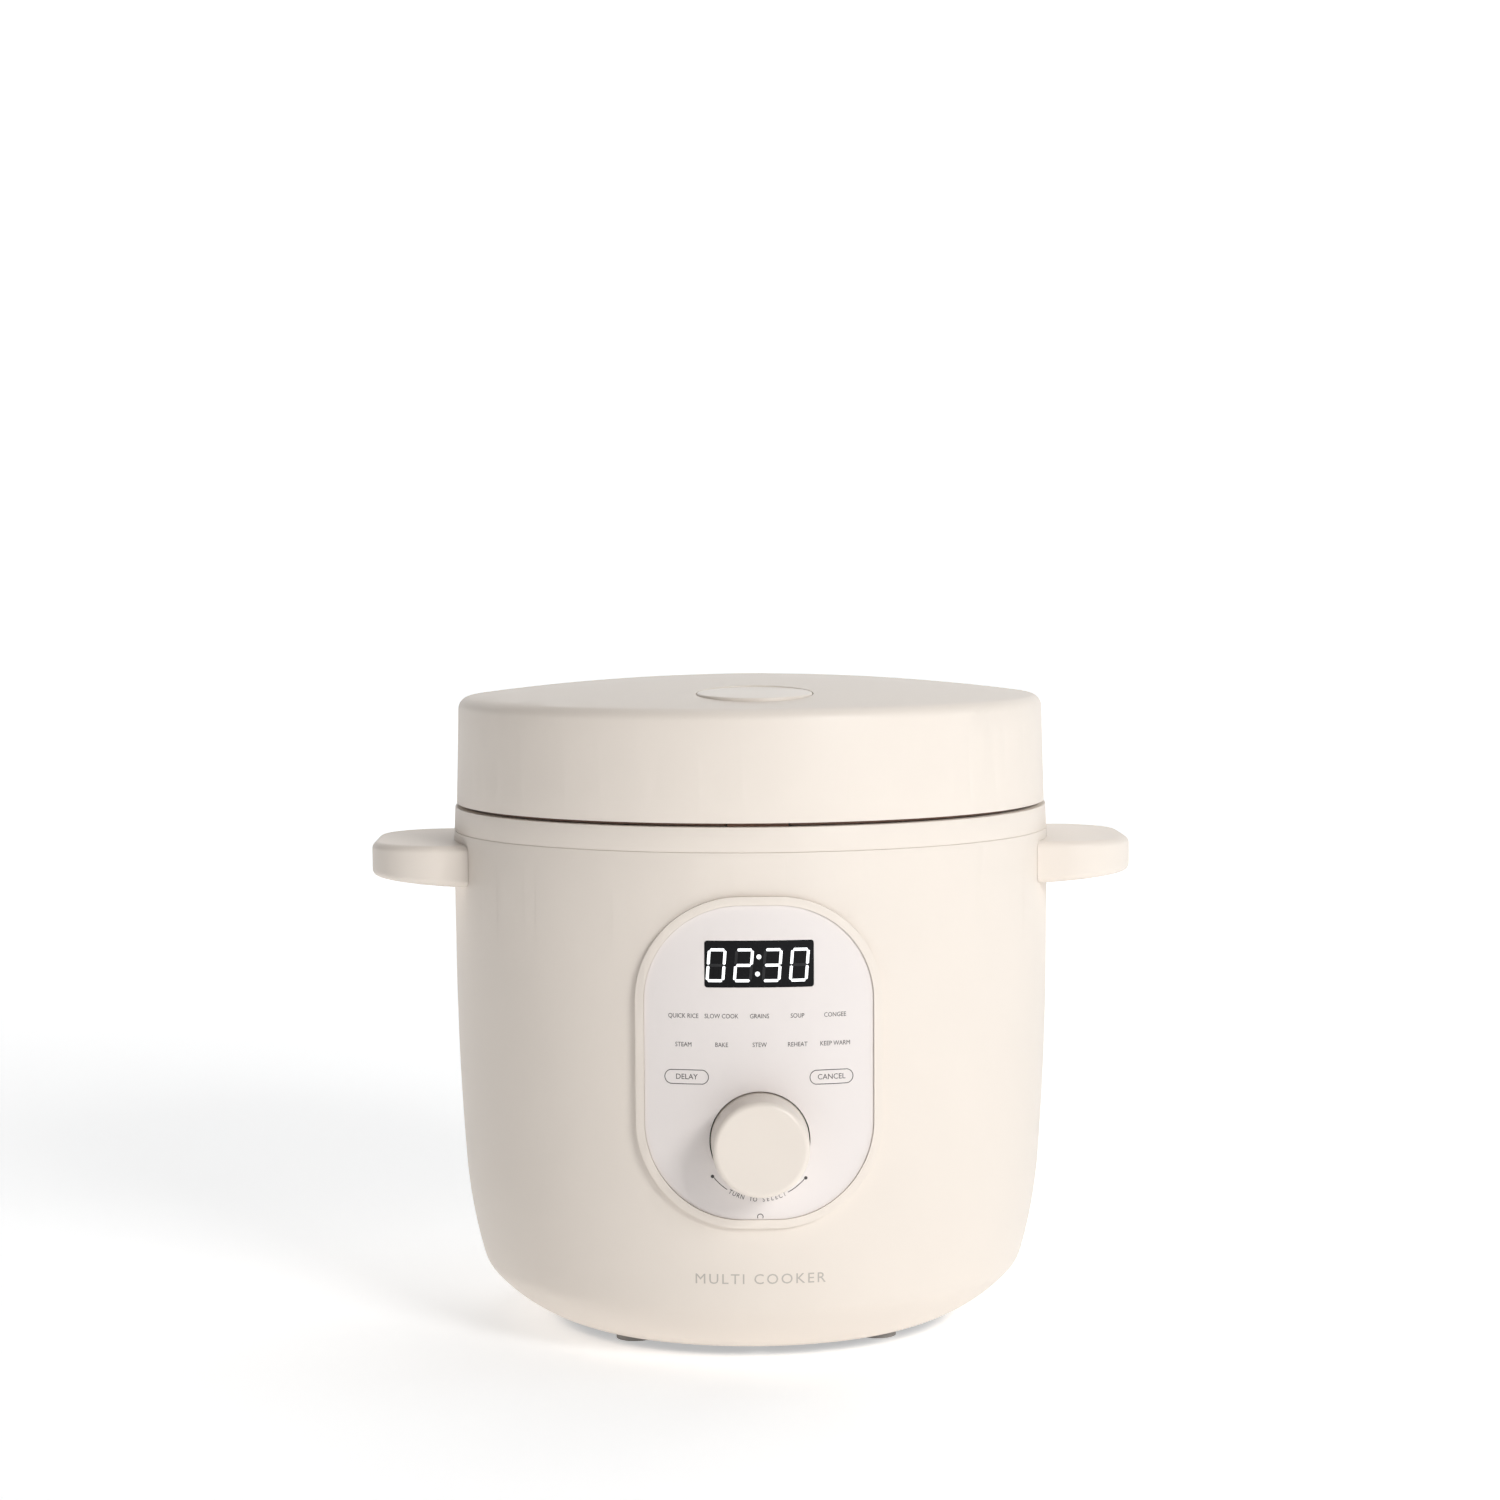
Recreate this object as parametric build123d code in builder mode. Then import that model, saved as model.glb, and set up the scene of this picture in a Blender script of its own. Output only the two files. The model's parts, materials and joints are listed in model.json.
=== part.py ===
"""Round multi-function cooker with a hinged lid, an oval control panel and two side handles.

Frame: millimetres, +Z up, control panel towards -Y, handles along X, hinge towards +Y.
The origin is on the surface that the cooker stands on, below the middle of the body.
"""
import os
from math import atan2, cos, degrees, radians, sin, sqrt

from build123d import *

os.makedirs("parts", exist_ok=True)

# ---------------------------------------------------------------- driving dimensions
# Body outline: radius and height of the points where its tangent arcs meet, and its first direction.
BODY_OUTLINE = [(73.0, 3.0), (97.3, 19.2), (100.5, 25.0), (106.8, 60.8), (109.7, 125.0), (110.2, 182.4)]
OUTLINE_START = 19.4
BODY_BOTTOM = 3.0
SEAM_Z = 182.4
SHELL_WALL = 2.5
LEDGE_LOW = 5.0
COLLAR_TOP = 191.1
FIT = 0.1                    # play between pieces that are assembled and stay put

# Control panel: sizes across the front, measured straight.
FILM_SIZE = (79.0, 108.9)
FILM_CORNER = 33.5
FILM_Z = 110.1
BEZEL_SIZE = (85.2, 115.0)
BEZEL_CORNER = 36.6
BEZEL_PROUD = 2.0
FILM_PROUD = 1.3
FLOOR_PROUD = 0.5
WINDOW_SIZE = (37.4, 16.1)
WINDOW_Z = 144.5
BOARD_FRONT = -99.0
BOARD_THICKNESS = 1.6

# Dial.
DIAL_Z = 83.15
DIAL_HOLE_RADIUS = 17.35
DIAL_BASE_RADIUS = 16.95
DIAL_FACE_RADIUS = 16.5
DIAL_FRONT = -127.0
DIAL_BACK = -107.3
SHAFT_RADIUS = 3.0

# Handles.
HANDLE_TIP = 139.7
HANDLE_HALF_DEPTH = 39.0
HANDLE_TOP = 179.0
HANDLE_UNDER_ROOT = 163.9
HANDLE_UNDER_TIP = 166.7

# Lid.
LID_BOTTOM = 192.45
LID_BOTTOM_RADIUS = 109.1
LID_TOP_RADIUS = 108.1
LID_TOP = 238.5
DOME_RADIUS = 776.0
LID_WALL = 2.4
LINER_BOTTOM = 193.6
LINER_TOP = 196.0
BUTTON_Y = -71.0
BUTTON_RADIUS = 20.3
BUTTON_TRAVEL = 3.0
VENT_Y = 68.0
VENT_RADIUS = 17.0
PIVOT_Y = 117.5
PIVOT_Z = 187.0
PIN_RADIUS = 2.0
KNUCKLE_RADIUS = 4.4

# Latch: the hook passes through a slot in the collar.
HOOK_HALF_WIDTH = 10.5
HOOK_FRONT = -104.2
HOOK_TOE = -105.6
CATCH_EDGE = -105.9

# Pot and heater.
POT_RADIUS = 90.0
POT_WALL = 1.8
POT_BOTTOM = 78.1
RIM_UNDER = 188.0
RIM_TOP = 189.5
RIM_RADIUS = 96.5
LINER_RADIUS = 94.6
HEATER_TOP = 78.0
HEATER_BOTTOM = 72.0
LINER_FLOOR = 58.0


# ---------------------------------------------------------------- shared shapes
def outline(inset):
    """Body outline moved inwards along its normals: its points, and the direction that leaves each."""
    direction = OUTLINE_START
    points = []
    leaving = []
    for index, (radius, height) in enumerate(BODY_OUTLINE):
        if index:
            last_radius, last_height = BODY_OUTLINE[index - 1]
            chord = degrees(atan2(height - last_height, radius - last_radius))
            direction = 2 * chord - direction
        along = cos(radians(direction))
        up = sin(radians(direction))
        points.append((radius - inset * up, height + inset * along))
        leaving.append((along, up))
    return points, leaving


def outline_arcs(inset):
    """Tangent arcs along one inset of the body outline."""
    points, leaving = outline(inset)
    for start, end, direction in zip(points, points[1:], leaving):
        TangentArc(start, end, tangent=direction)
    return points


def wall_section(outer_inset, inner_inset):
    """Face between two insets of the body outline, for revolving about Z."""
    with BuildLine() as path:
        outer = outline_arcs(outer_inset)
        inner = outline_arcs(inner_inset)
        Line(outer[-1], inner[-1])
        Line(inner[0], outer[0])
    make_face(path.edges())


def body_section(inset):
    """Face of the whole body inside one inset of its outline."""
    with BuildLine() as path:
        points = outline_arcs(inset)
        Polyline(points[-1], (0, points[-1][1]), (0, points[0][1]), points[0])
    make_face(path.edges())


def lid_section(grow=0.0):
    """Face of the whole lid inside its outer skin."""
    corner_z = LID_TOP - LID_TOP_RADIUS ** 2 / (2 * DOME_RADIUS)
    half = LID_TOP_RADIUS / 2
    middle_z = LID_TOP - half ** 2 / (2 * DOME_RADIUS)
    with BuildLine() as path:
        ThreePointArc((0, LID_TOP + grow), (half, middle_z + grow), (LID_TOP_RADIUS, corner_z + grow))
        Polyline((LID_TOP_RADIUS, corner_z + grow), (LID_BOTTOM_RADIUS, LID_BOTTOM), (0, LID_BOTTOM),
                 (0, LID_TOP + grow))
    make_face(path.edges())


def rectangle_profile(radius_in, radius_out, low, high):
    """Rectangle between two radii and two heights, for revolving about Z."""
    with Locations(((radius_in + radius_out) / 2, (low + high) / 2)):
        Rectangle(radius_out - radius_in, high - low)


def wall_slab(outer_inset, inner_inset, size, middle_z, corner):
    """A piece of the front wall between two insets, cut to a rounded outline."""
    with BuildPart() as slab:
        with BuildSketch(Plane.XZ):
            wall_section(outer_inset, inner_inset)
        revolve(axis=Axis.Z)
        with BuildSketch(Plane.XZ.offset(80)):
            with Locations((0, middle_z)):
                RectangleRounded(size[0], size[1], corner)
        extrude(amount=60, mode=Mode.INTERSECT)
    return slab.part


def coil(radius, wire, height, turns, start, direction=(0, 0, 1)):
    """Coil spring as a swept round wire, from the middle of its first end along one direction."""
    with BuildPart() as piece:
        with BuildLine() as path:
            Helix(height / turns, height, radius, center=start, direction=direction)
        with BuildSketch(Plane(path.line @ 0, z_dir=path.line % 0)):
            Circle(wire)
        sweep(is_frenet=True)
    return piece.part


film_cut = wall_slab(-BEZEL_PROUD - 1, -FLOOR_PROUD, (FILM_SIZE[0] + 0.2, FILM_SIZE[1] + 0.2),
                     FILM_Z, FILM_CORNER)

# ---------------------------------------------------------------- casing: outer shell
PANEL_HOLE = (FILM_SIZE[0] + 0.4, FILM_SIZE[1] + 0.4)
INLET_SIZE = (38.0, 26.0)
INLET_Z = 40.0
SCREW_RING = 69.5
HANDLE_SCREW_Y = 30.0
HANDLE_SCREW_Z = 171.5
HINGE_SCREW_X = 25.0
HINGE_SCREW_Z = 165.0
SCREW_HOLE = 1.6

with BuildPart() as outer_shell:
    with BuildSketch(Plane.XZ):
        wall_section(0, SHELL_WALL)
        rectangle_profile(66.0, 76.0, LEDGE_LOW, 8.0)
    revolve(axis=Axis.Z)
    with BuildSketch(Plane.XY.offset(8.0)):
        with PolarLocations(SCREW_RING, 4):
            Circle(3.4)
    extrude(amount=6)
    with BuildSketch(Plane.XZ.offset(80)):
        with Locations((0, FILM_Z)):
            RectangleRounded(PANEL_HOLE[0], PANEL_HOLE[1], FILM_CORNER)
    extrude(amount=60, mode=Mode.SUBTRACT)
    with BuildSketch(Plane.XZ.offset(-80)):
        with Locations((0, INLET_Z)):
            Rectangle(INLET_SIZE[0] + 2 * FIT, INLET_SIZE[1] + 2 * FIT)
    extrude(amount=-60, mode=Mode.SUBTRACT)
    with BuildSketch(Plane.YZ):
        with Locations((-HANDLE_SCREW_Y, HANDLE_SCREW_Z), (HANDLE_SCREW_Y, HANDLE_SCREW_Z)):
            Circle(SCREW_HOLE)
        with Locations((0, HANDLE_SCREW_Z)):
            Rectangle(44 + 2 * FIT, 7 + 2 * FIT)
    extrude(amount=130, both=True, mode=Mode.SUBTRACT)
    with BuildSketch(Plane.XZ.offset(-80)):
        with Locations((-HINGE_SCREW_X, HINGE_SCREW_Z), (HINGE_SCREW_X, HINGE_SCREW_Z)):
            Circle(SCREW_HOLE)
    extrude(amount=-60, mode=Mode.SUBTRACT)
    with BuildSketch(Plane.XY):
        with PolarLocations(SCREW_RING, 4):
            Circle(1.3)
    extrude(amount=13, mode=Mode.SUBTRACT)
outer_shell.part.label = "outer_shell"
export_step(outer_shell.part, "parts/outer_shell.step")

# ---------------------------------------------------------------- casing: collar ring
with BuildPart() as collar_ring:
    with BuildSketch(Plane.XZ):
        with BuildLine():
            Polyline((110.0, SEAM_Z + 0.05), (109.7, COLLAR_TOP), (98.3, COLLAR_TOP), (98.0, 187.9),
                     (92.6, 187.9), (92.6, 185.4), (99.8, 185.4), (99.8, 188.6), (105.0, 188.6),
                     (105.0, 176.0), (107.4, 176.0), (107.4, SEAM_Z + 0.05), close=True)
        make_face()
    revolve(axis=Axis.Z)
    with BuildSketch(Plane.XY.offset(188.0)):
        with Locations((0, (CATCH_EDGE - 100.1) / 2)):
            Rectangle(22.4, -100.1 - CATCH_EDGE)
    extrude(amount=5, mode=Mode.SUBTRACT)
    with BuildSketch(Plane.XY.offset(184.0)):
        with Locations((0, -105.8)):
            Rectangle(24.4, 4.0)
    extrude(amount=4.6, mode=Mode.SUBTRACT)
collar_ring.part.label = "collar_ring"
export_step(collar_ring.part, "parts/collar_ring.step")

with BuildPart() as latch_catch:
    with BuildSketch(Plane.XY.offset(186.9)):
        with Locations((0, (CATCH_EDGE - 107.6) / 2)):
            Rectangle(24.0, CATCH_EDGE + 107.6)
    extrude(amount=1.6)
latch_catch.part.label = "latch_catch"
export_step(latch_catch.part, "parts/latch_catch.step")

# ---------------------------------------------------------------- casing: handles and their screws
for side, name in ((-1, "handle_left"), (1, "handle_right")):
    with BuildPart() as handle:
        with BuildSketch(Plane.XY.offset(HANDLE_UNDER_ROOT)):
            with Locations((side * HANDLE_TIP / 2, 0)):
                RectangleRounded(HANDLE_TIP, 2 * HANDLE_HALF_DEPTH, 26.0)
        extrude(amount=HANDLE_TOP - HANDLE_UNDER_ROOT)
        with BuildSketch(Plane.XZ):
            Polygon((side * 108, HANDLE_UNDER_ROOT - 1), (side * 150, HANDLE_UNDER_ROOT - 1),
                    (side * 150, HANDLE_UNDER_TIP + 0.6), (side * 108, HANDLE_UNDER_ROOT), align=None)
        extrude(amount=60, both=True, mode=Mode.SUBTRACT)
        outside = handle.edges().filter_by(lambda edge: abs(edge.center().X) > 60)
        rims = outside.filter_by(lambda edge: abs(edge.tangent_at(0.5).Z) < 0.5)
        fillet(rims.filter_by(lambda edge: abs(edge.center().X) > 111), 2.6)
        with BuildSketch(Plane.XZ):
            body_section(-0.06)
        revolve(axis=Axis.Z, mode=Mode.SUBTRACT)
        with BuildSketch(Plane.YZ.offset(side * 104)):
            with Locations((0, HANDLE_SCREW_Z)):
                Rectangle(44, 7)
        extrude(amount=side * 12)
        with BuildSketch(Plane.YZ.offset(side * 100)):
            with Locations((-HANDLE_SCREW_Y, HANDLE_SCREW_Z), (HANDLE_SCREW_Y, HANDLE_SCREW_Z)):
                Circle(1.52)
        extrude(amount=side * 20, mode=Mode.SUBTRACT)
    handle.part.label = name
    export_step(handle.part, f"parts/{name}.step")

with BuildPart() as handle_screws:
    for side in (-1, 1):
        with BuildSketch(Plane.YZ.offset(side * 100.3)):
            with Locations((-HANDLE_SCREW_Y, HANDLE_SCREW_Z), (HANDLE_SCREW_Y, HANDLE_SCREW_Z)):
                Circle(3.0)
        extrude(amount=side * 1.9)
        with BuildSketch(Plane.YZ.offset(side * 102.2)):
            with Locations((-HANDLE_SCREW_Y, HANDLE_SCREW_Z), (HANDLE_SCREW_Y, HANDLE_SCREW_Z)):
                Circle(1.5)
        extrude(amount=side * 16)
handle_screws.part.label = "handle_screws"
export_step(handle_screws.part, "parts/handle_screws.step")

# ---------------------------------------------------------------- casing: base plate, feet, screws
FOOT_RING = 62.0
POST_SPOTS = [(-48, -28), (48, -28), (-48, 28), (48, 28)]
BOARD_Z = 14.0

with BuildPart() as base_plate:
    with BuildSketch(Plane.XY.offset(BODY_BOTTOM)):
        Circle(72.0)
        with PolarLocations(SCREW_RING, 4):
            Circle(1.6, mode=Mode.SUBTRACT)
        with PolarLocations(FOOT_RING, 4, start_angle=45):
            Circle(2.5, mode=Mode.SUBTRACT)
        with GridLocations(0, 8.0, 1, 7):
            SlotOverall(52, 3.2, mode=Mode.SUBTRACT)
    extrude(amount=LEDGE_LOW - BODY_BOTTOM)
    with BuildSketch(Plane.XY.offset(BODY_BOTTOM)):
        with PolarLocations(SCREW_RING, 4):
            Circle(2.9)
    extrude(amount=1.4, mode=Mode.SUBTRACT)
    with BuildSketch(Plane.XY.offset(LEDGE_LOW)):
        with Locations(*POST_SPOTS):
            Circle(3.0)
    extrude(amount=BOARD_Z - LEDGE_LOW)
base_plate.part.label = "base_plate"
export_step(base_plate.part, "parts/base_plate.step")

with BuildPart() as feet:
    with BuildSketch(Plane.XY):
        with PolarLocations(FOOT_RING, 4, start_angle=45):
            Circle(7.0)
    extrude(amount=BODY_BOTTOM)
    with BuildSketch(Plane.XY.offset(BODY_BOTTOM)):
        with PolarLocations(FOOT_RING, 4, start_angle=45):
            Circle(2.4)
    extrude(amount=LEDGE_LOW - BODY_BOTTOM)
    with BuildSketch(Plane.XY.offset(LEDGE_LOW)):
        with PolarLocations(FOOT_RING, 4, start_angle=45):
            Circle(3.2)
    extrude(amount=1.2)
feet.part.label = "feet"
export_step(feet.part, "parts/feet.step")

with BuildPart() as base_screws:
    with BuildSketch(Plane.XY.offset(BODY_BOTTOM + 0.2)):
        with PolarLocations(SCREW_RING, 4):
            Circle(2.7)
    extrude(amount=1.2)
    with BuildSketch(Plane.XY.offset(BODY_BOTTOM + 1.4)):
        with PolarLocations(SCREW_RING, 4):
            Circle(1.28)
    extrude(amount=8.2)
base_screws.part.label = "base_screws"
export_step(base_screws.part, "parts/base_screws.step")

# ---------------------------------------------------------------- hinge on the body
HOUSING_HALF = 46.0
POCKET_HALF = 38.2
HOUSING_BACK = 127.0

with BuildPart() as hinge_housing:
    with BuildSketch(Plane.XY.offset(152.0)):
        with Locations((0, (96 + HOUSING_BACK) / 2)):
            Rectangle(2 * HOUSING_HALF, HOUSING_BACK - 96)
    extrude(amount=191.6 - 152.0)
    fillet(hinge_housing.edges().filter_by(Axis.Z).group_by(Axis.Y)[-1], 7.0)
    chamfer(hinge_housing.edges().group_by(Axis.Z)[0].group_by(Axis.Y)[-1], 5.0)
    with BuildSketch(Plane.XZ):
        body_section(-0.1)
    revolve(axis=Axis.Z, mode=Mode.SUBTRACT)
    with BuildSketch(Plane.XY.offset(SEAM_Z - 1)):
        Circle(110.4)
    extrude(amount=12, mode=Mode.SUBTRACT)
    with BuildSketch(Plane.XY.offset(181.5)):
        with Locations((0, (104 + 124.8) / 2)):
            Rectangle(2 * POCKET_HALF, 124.8 - 104)
    extrude(amount=12, mode=Mode.SUBTRACT)
    with BuildSketch(Plane.XY.offset(190.0)):
        with Locations((0, 120)):
            Rectangle(2 * POCKET_HALF, 20)
    extrude(amount=3, mode=Mode.SUBTRACT)
    with BuildSketch(Plane.YZ):
        with Locations((PIVOT_Y, PIVOT_Z)):
            Circle(PIN_RADIUS + 0.02)
    extrude(amount=44.2, both=True, mode=Mode.SUBTRACT)
    with BuildSketch(Plane.XZ.offset(-100)):
        with Locations((-HINGE_SCREW_X, HINGE_SCREW_Z), (HINGE_SCREW_X, HINGE_SCREW_Z)):
            Circle(1.52)
    extrude(amount=-18, mode=Mode.SUBTRACT)
hinge_housing.part.label = "hinge_housing"
export_step(hinge_housing.part, "parts/hinge_housing.step")

with BuildPart() as hinge_screws:
    with BuildSketch(Plane.XZ.offset(-100.3)):
        with Locations((-HINGE_SCREW_X, HINGE_SCREW_Z), (HINGE_SCREW_X, HINGE_SCREW_Z)):
            Circle(3.0)
    extrude(amount=-2.4)
    with BuildSketch(Plane.XZ.offset(-102.7)):
        with Locations((-HINGE_SCREW_X, HINGE_SCREW_Z), (HINGE_SCREW_X, HINGE_SCREW_Z)):
            Circle(1.5)
    extrude(amount=-14)
hinge_screws.part.label = "hinge_screws"
export_step(hinge_screws.part, "parts/hinge_screws.step")

with BuildPart() as hinge_pin:
    with BuildSketch(Plane.YZ):
        with Locations((PIVOT_Y, PIVOT_Z)):
            Circle(PIN_RADIUS)
    extrude(amount=44.0, both=True)
hinge_pin.part.label = "hinge_pin"
export_step(hinge_pin.part, "parts/hinge_pin.step")

hinge_spring = coil(3.3, 0.6, 22.4, 14, (-11.2, PIVOT_Y, PIVOT_Z), direction=(1, 0, 0))
hinge_spring.label = "hinge_spring"
export_step(hinge_spring, "parts/hinge_spring.step")

# ---------------------------------------------------------------- control panel
bezel_lip = wall_slab(-BEZEL_PROUD, -0.06, BEZEL_SIZE, FILM_Z, BEZEL_CORNER)
bezel_plug = wall_slab(-BEZEL_PROUD, 2.0, FILM_SIZE, FILM_Z, FILM_CORNER)

with BuildPart() as panel_bezel:
    add(bezel_lip)
    add(bezel_plug)
    add(film_cut, mode=Mode.SUBTRACT)
    with BuildSketch(Plane.XZ.offset(80)):
        with Locations((0, WINDOW_Z)):
            RectangleRounded(WINDOW_SIZE[0] + 0.1, WINDOW_SIZE[1] + 0.1, 1.0)
        with Locations((0, DIAL_Z)):
            Circle(DIAL_HOLE_RADIUS)
    extrude(amount=60, mode=Mode.SUBTRACT)
panel_bezel.part.label = "panel_bezel"
export_step(panel_bezel.part, "parts/panel_bezel.step")

film_blank = wall_slab(-FILM_PROUD, -FLOOR_PROUD, FILM_SIZE, FILM_Z, FILM_CORNER)

with BuildPart() as panel_film:
    add(film_blank)
    with BuildSketch(Plane.XZ.offset(80)):
        with Locations((0, WINDOW_Z)):
            RectangleRounded(WINDOW_SIZE[0] + 0.1, WINDOW_SIZE[1] + 0.1, 1.0)
        with Locations((0, DIAL_Z)):
            Circle(DIAL_HOLE_RADIUS)
    extrude(amount=60, mode=Mode.SUBTRACT)
panel_film.part.label = "panel_film"
export_step(panel_film.part, "parts/panel_film.step")

display_window = wall_slab(-FILM_PROUD, 0.6, WINDOW_SIZE, WINDOW_Z, 1.0)
display_window.label = "display_window"
export_step(display_window, "parts/display_window.step")

with BuildPart() as display_module:
    with BuildSketch(Plane.XZ.offset(-BOARD_FRONT)):
        with Locations((0, WINDOW_Z)):
            RectangleRounded(36.0, 15.0, 0.8)
    extrude(amount=7.6)
display_module.part.label = "display_module"
export_step(display_module.part, "parts/display_module.step")

with BuildPart() as control_board:
    with BuildSketch(Plane.XZ.offset(-BOARD_FRONT - BOARD_THICKNESS)):
        with Locations((0, 112)):
            RectangleRounded(62.0, 92.0, 3.0)
    extrude(amount=BOARD_THICKNESS)
control_board.part.label = "control_board"
export_step(control_board.part, "parts/control_board.step")

# Touch springs: two rows of five keys and two wider keys under them.
KEY_COLUMNS = [-26.0, -13.0, 0.0, 13.0, 26.0]
KEY_SPOTS = [(x, z) for z in (127.5, 117.5) for x in KEY_COLUMNS] + [(-24.5, 105.2), (24.5, 105.2)]
FLOOR_BACK_RADIUS = 107.3

with BuildPart() as touch_springs:
    for x, z in KEY_SPOTS:
        reach = sqrt(FLOOR_BACK_RADIUS ** 2 - (abs(x) + 3.0) ** 2) + BOARD_FRONT
        with BuildSketch(Plane.XZ.offset(-BOARD_FRONT)):
            with Locations((x, z)):
                Circle(3.0)
                Circle(2.2, mode=Mode.SUBTRACT)
        extrude(amount=reach - 0.4)
touch_springs.part.label = "touch_springs"
export_step(touch_springs.part, "parts/touch_springs.step")

with BuildPart() as encoder_body:
    with BuildSketch(Plane.XZ.offset(-BOARD_FRONT)):
        with Locations((0, DIAL_Z)):
            RectangleRounded(13.0, 13.0, 1.0)
    extrude(amount=5.5)
    with BuildSketch(Plane.XZ.offset(-BOARD_FRONT + 1.0)):
        with Locations((0, DIAL_Z)):
            Circle(4.6)
    extrude(amount=6, mode=Mode.SUBTRACT)
encoder_body.part.label = "encoder_body"
export_step(encoder_body.part, "parts/encoder_body.step")

with BuildPart() as encoder_rotor:
    with BuildSketch(Plane.XZ.offset(100.2)):
        with Locations((0, DIAL_Z)):
            Circle(4.54)
            Circle(SHAFT_RADIUS + 0.06, mode=Mode.SUBTRACT)
    extrude(amount=5.0)
encoder_rotor.part.label = "encoder_rotor"
export_step(encoder_rotor.part, "parts/encoder_rotor.step")

with BuildPart() as dial_knob:
    with BuildSketch(Plane.XZ.offset(-DIAL_BACK)):
        with Locations((0, DIAL_Z)):
            Circle(DIAL_BASE_RADIUS)
    with BuildSketch(Plane.XZ.offset(-DIAL_FRONT)):
        with Locations((0, DIAL_Z)):
            Circle(DIAL_FACE_RADIUS)
    loft()
    fillet(dial_knob.edges().group_by(Axis.Y)[0], 2.0)
    with BuildSketch(Plane.XZ.offset(-DIAL_BACK)):
        with Locations((0, DIAL_Z)):
            Circle(DIAL_FACE_RADIUS - 2.0)
            Circle(5.5, mode=Mode.SUBTRACT)
    extrude(amount=17.2, mode=Mode.SUBTRACT)
    with BuildSketch(Plane.XZ.offset(-DIAL_BACK)):
        with Locations((0, DIAL_Z)):
            Circle(SHAFT_RADIUS)
    extrude(amount=16.5, mode=Mode.SUBTRACT)
dial_knob.part.label = "dial_knob"
export_step(dial_knob.part, "parts/dial_knob.step")

with BuildPart() as dial_shaft:
    with BuildSketch(Plane.XZ.offset(101.6)):
        with Locations((0, DIAL_Z)):
            Circle(SHAFT_RADIUS)
    extrude(amount=22.1)
dial_shaft.part.label = "dial_shaft"
export_step(dial_shaft.part, "parts/dial_shaft.step")

with BuildPart() as control_ribbon:
    with BuildSketch(Plane.YZ):
        with BuildLine():
            Polyline((-96.2, 74), (-96.2, 56), (-64, 18.2), (-52, 18.2), (-52, 16.8), (-64.8, 16.8),
                     (-97.4, 55.2), (-97.4, 74), close=True)
        make_face()
    extrude(amount=7, both=True)
    with BuildSketch(Plane.YZ):
        with Locations((-55, 16.2)):
            Rectangle(8, 1.2)
    extrude(amount=8, both=True)
control_ribbon.part.label = "control_ribbon"
export_step(control_ribbon.part, "parts/control_ribbon.step")

# ---------------------------------------------------------------- heating
with BuildPart() as inner_liner:
    with BuildSketch(Plane.XZ):
        rectangle_profile(LINER_RADIUS - 1, LINER_RADIUS, LINER_FLOOR, 185.3)
        rectangle_profile(25.0, LINER_RADIUS, LINER_FLOOR, LINER_FLOOR + 1)
        rectangle_profile(LINER_RADIUS - 1, 99.4, 184.3, 185.3)
    revolve(axis=Axis.Z)
inner_liner.part.label = "inner_liner"
export_step(inner_liner.part, "parts/inner_liner.step")

ELEMENT_RADIUS = 55.0
ELEMENT_Z = 70.5
with BuildPart() as heating_plate:
    with BuildSketch(Plane.XZ):
        rectangle_profile(17.4, 78.0, HEATER_BOTTOM, HEATER_TOP)
        with Locations((ELEMENT_RADIUS, ELEMENT_Z)):
            Circle(3.6, mode=Mode.SUBTRACT)
    revolve(axis=Axis.Z)
heating_plate.part.label = "heating_plate"
export_step(heating_plate.part, "parts/heating_plate.step")

with BuildPart() as heating_element:
    with BuildSketch(Plane.XZ):
        with Locations((ELEMENT_RADIUS, ELEMENT_Z)):
            Circle(3.5)
    revolve(axis=Axis.Z, revolution_arc=330)
    with BuildSketch(Plane.XY.offset(61.0)):
        for angle in (3, 327):
            with Locations((ELEMENT_RADIUS * cos(radians(angle)), -ELEMENT_RADIUS * sin(radians(angle)))):
                Circle(1.5)
    extrude(amount=8)
heating_element.part.label = "heating_element"
export_step(heating_element.part, "parts/heating_element.step")

with BuildPart() as plate_supports:
    with BuildSketch(Plane.XY.offset(LINER_FLOOR + 1)):
        with PolarLocations(68.0, 3, start_angle=30):
            Circle(4.0)
    extrude(amount=HEATER_BOTTOM - LINER_FLOOR - 1)
plate_supports.part.label = "plate_supports"
export_step(plate_supports.part, "parts/plate_supports.step")

with BuildPart() as thermal_fuse:
    with BuildSketch(Plane.XY.offset(67.5)):
        with Locations((-36, 0)):
            RectangleRounded(8, 22, 1.5)
    extrude(amount=4.5)
thermal_fuse.part.label = "thermal_fuse"
export_step(thermal_fuse.part, "parts/thermal_fuse.step")

with BuildPart() as probe_holder:
    with BuildSketch(Plane.XZ):
        rectangle_profile(0, 30.0, LINER_FLOOR + 1, LINER_FLOOR + 2.5)
        rectangle_profile(10.0, 12.0, LINER_FLOOR + 2.5, 71.0)
    revolve(axis=Axis.Z)
probe_holder.part.label = "probe_holder"
export_step(probe_holder.part, "parts/probe_holder.step")

probe_spring = coil(13.6, 0.6, 14.6, 5, (0, 0, 61.2))
probe_spring.label = "probe_spring"
export_step(probe_spring, "parts/probe_spring.step")

with BuildPart() as probe_cap:
    with BuildSketch(Plane.XZ):
        rectangle_profile(0, 16.8, 76.8, 78.0)
        rectangle_profile(15.5, 16.8, 64.0, 76.9)
    revolve(axis=Axis.Z)
probe_cap.part.label = "probe_cap"
export_step(probe_cap.part, "parts/probe_cap.step")

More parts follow.
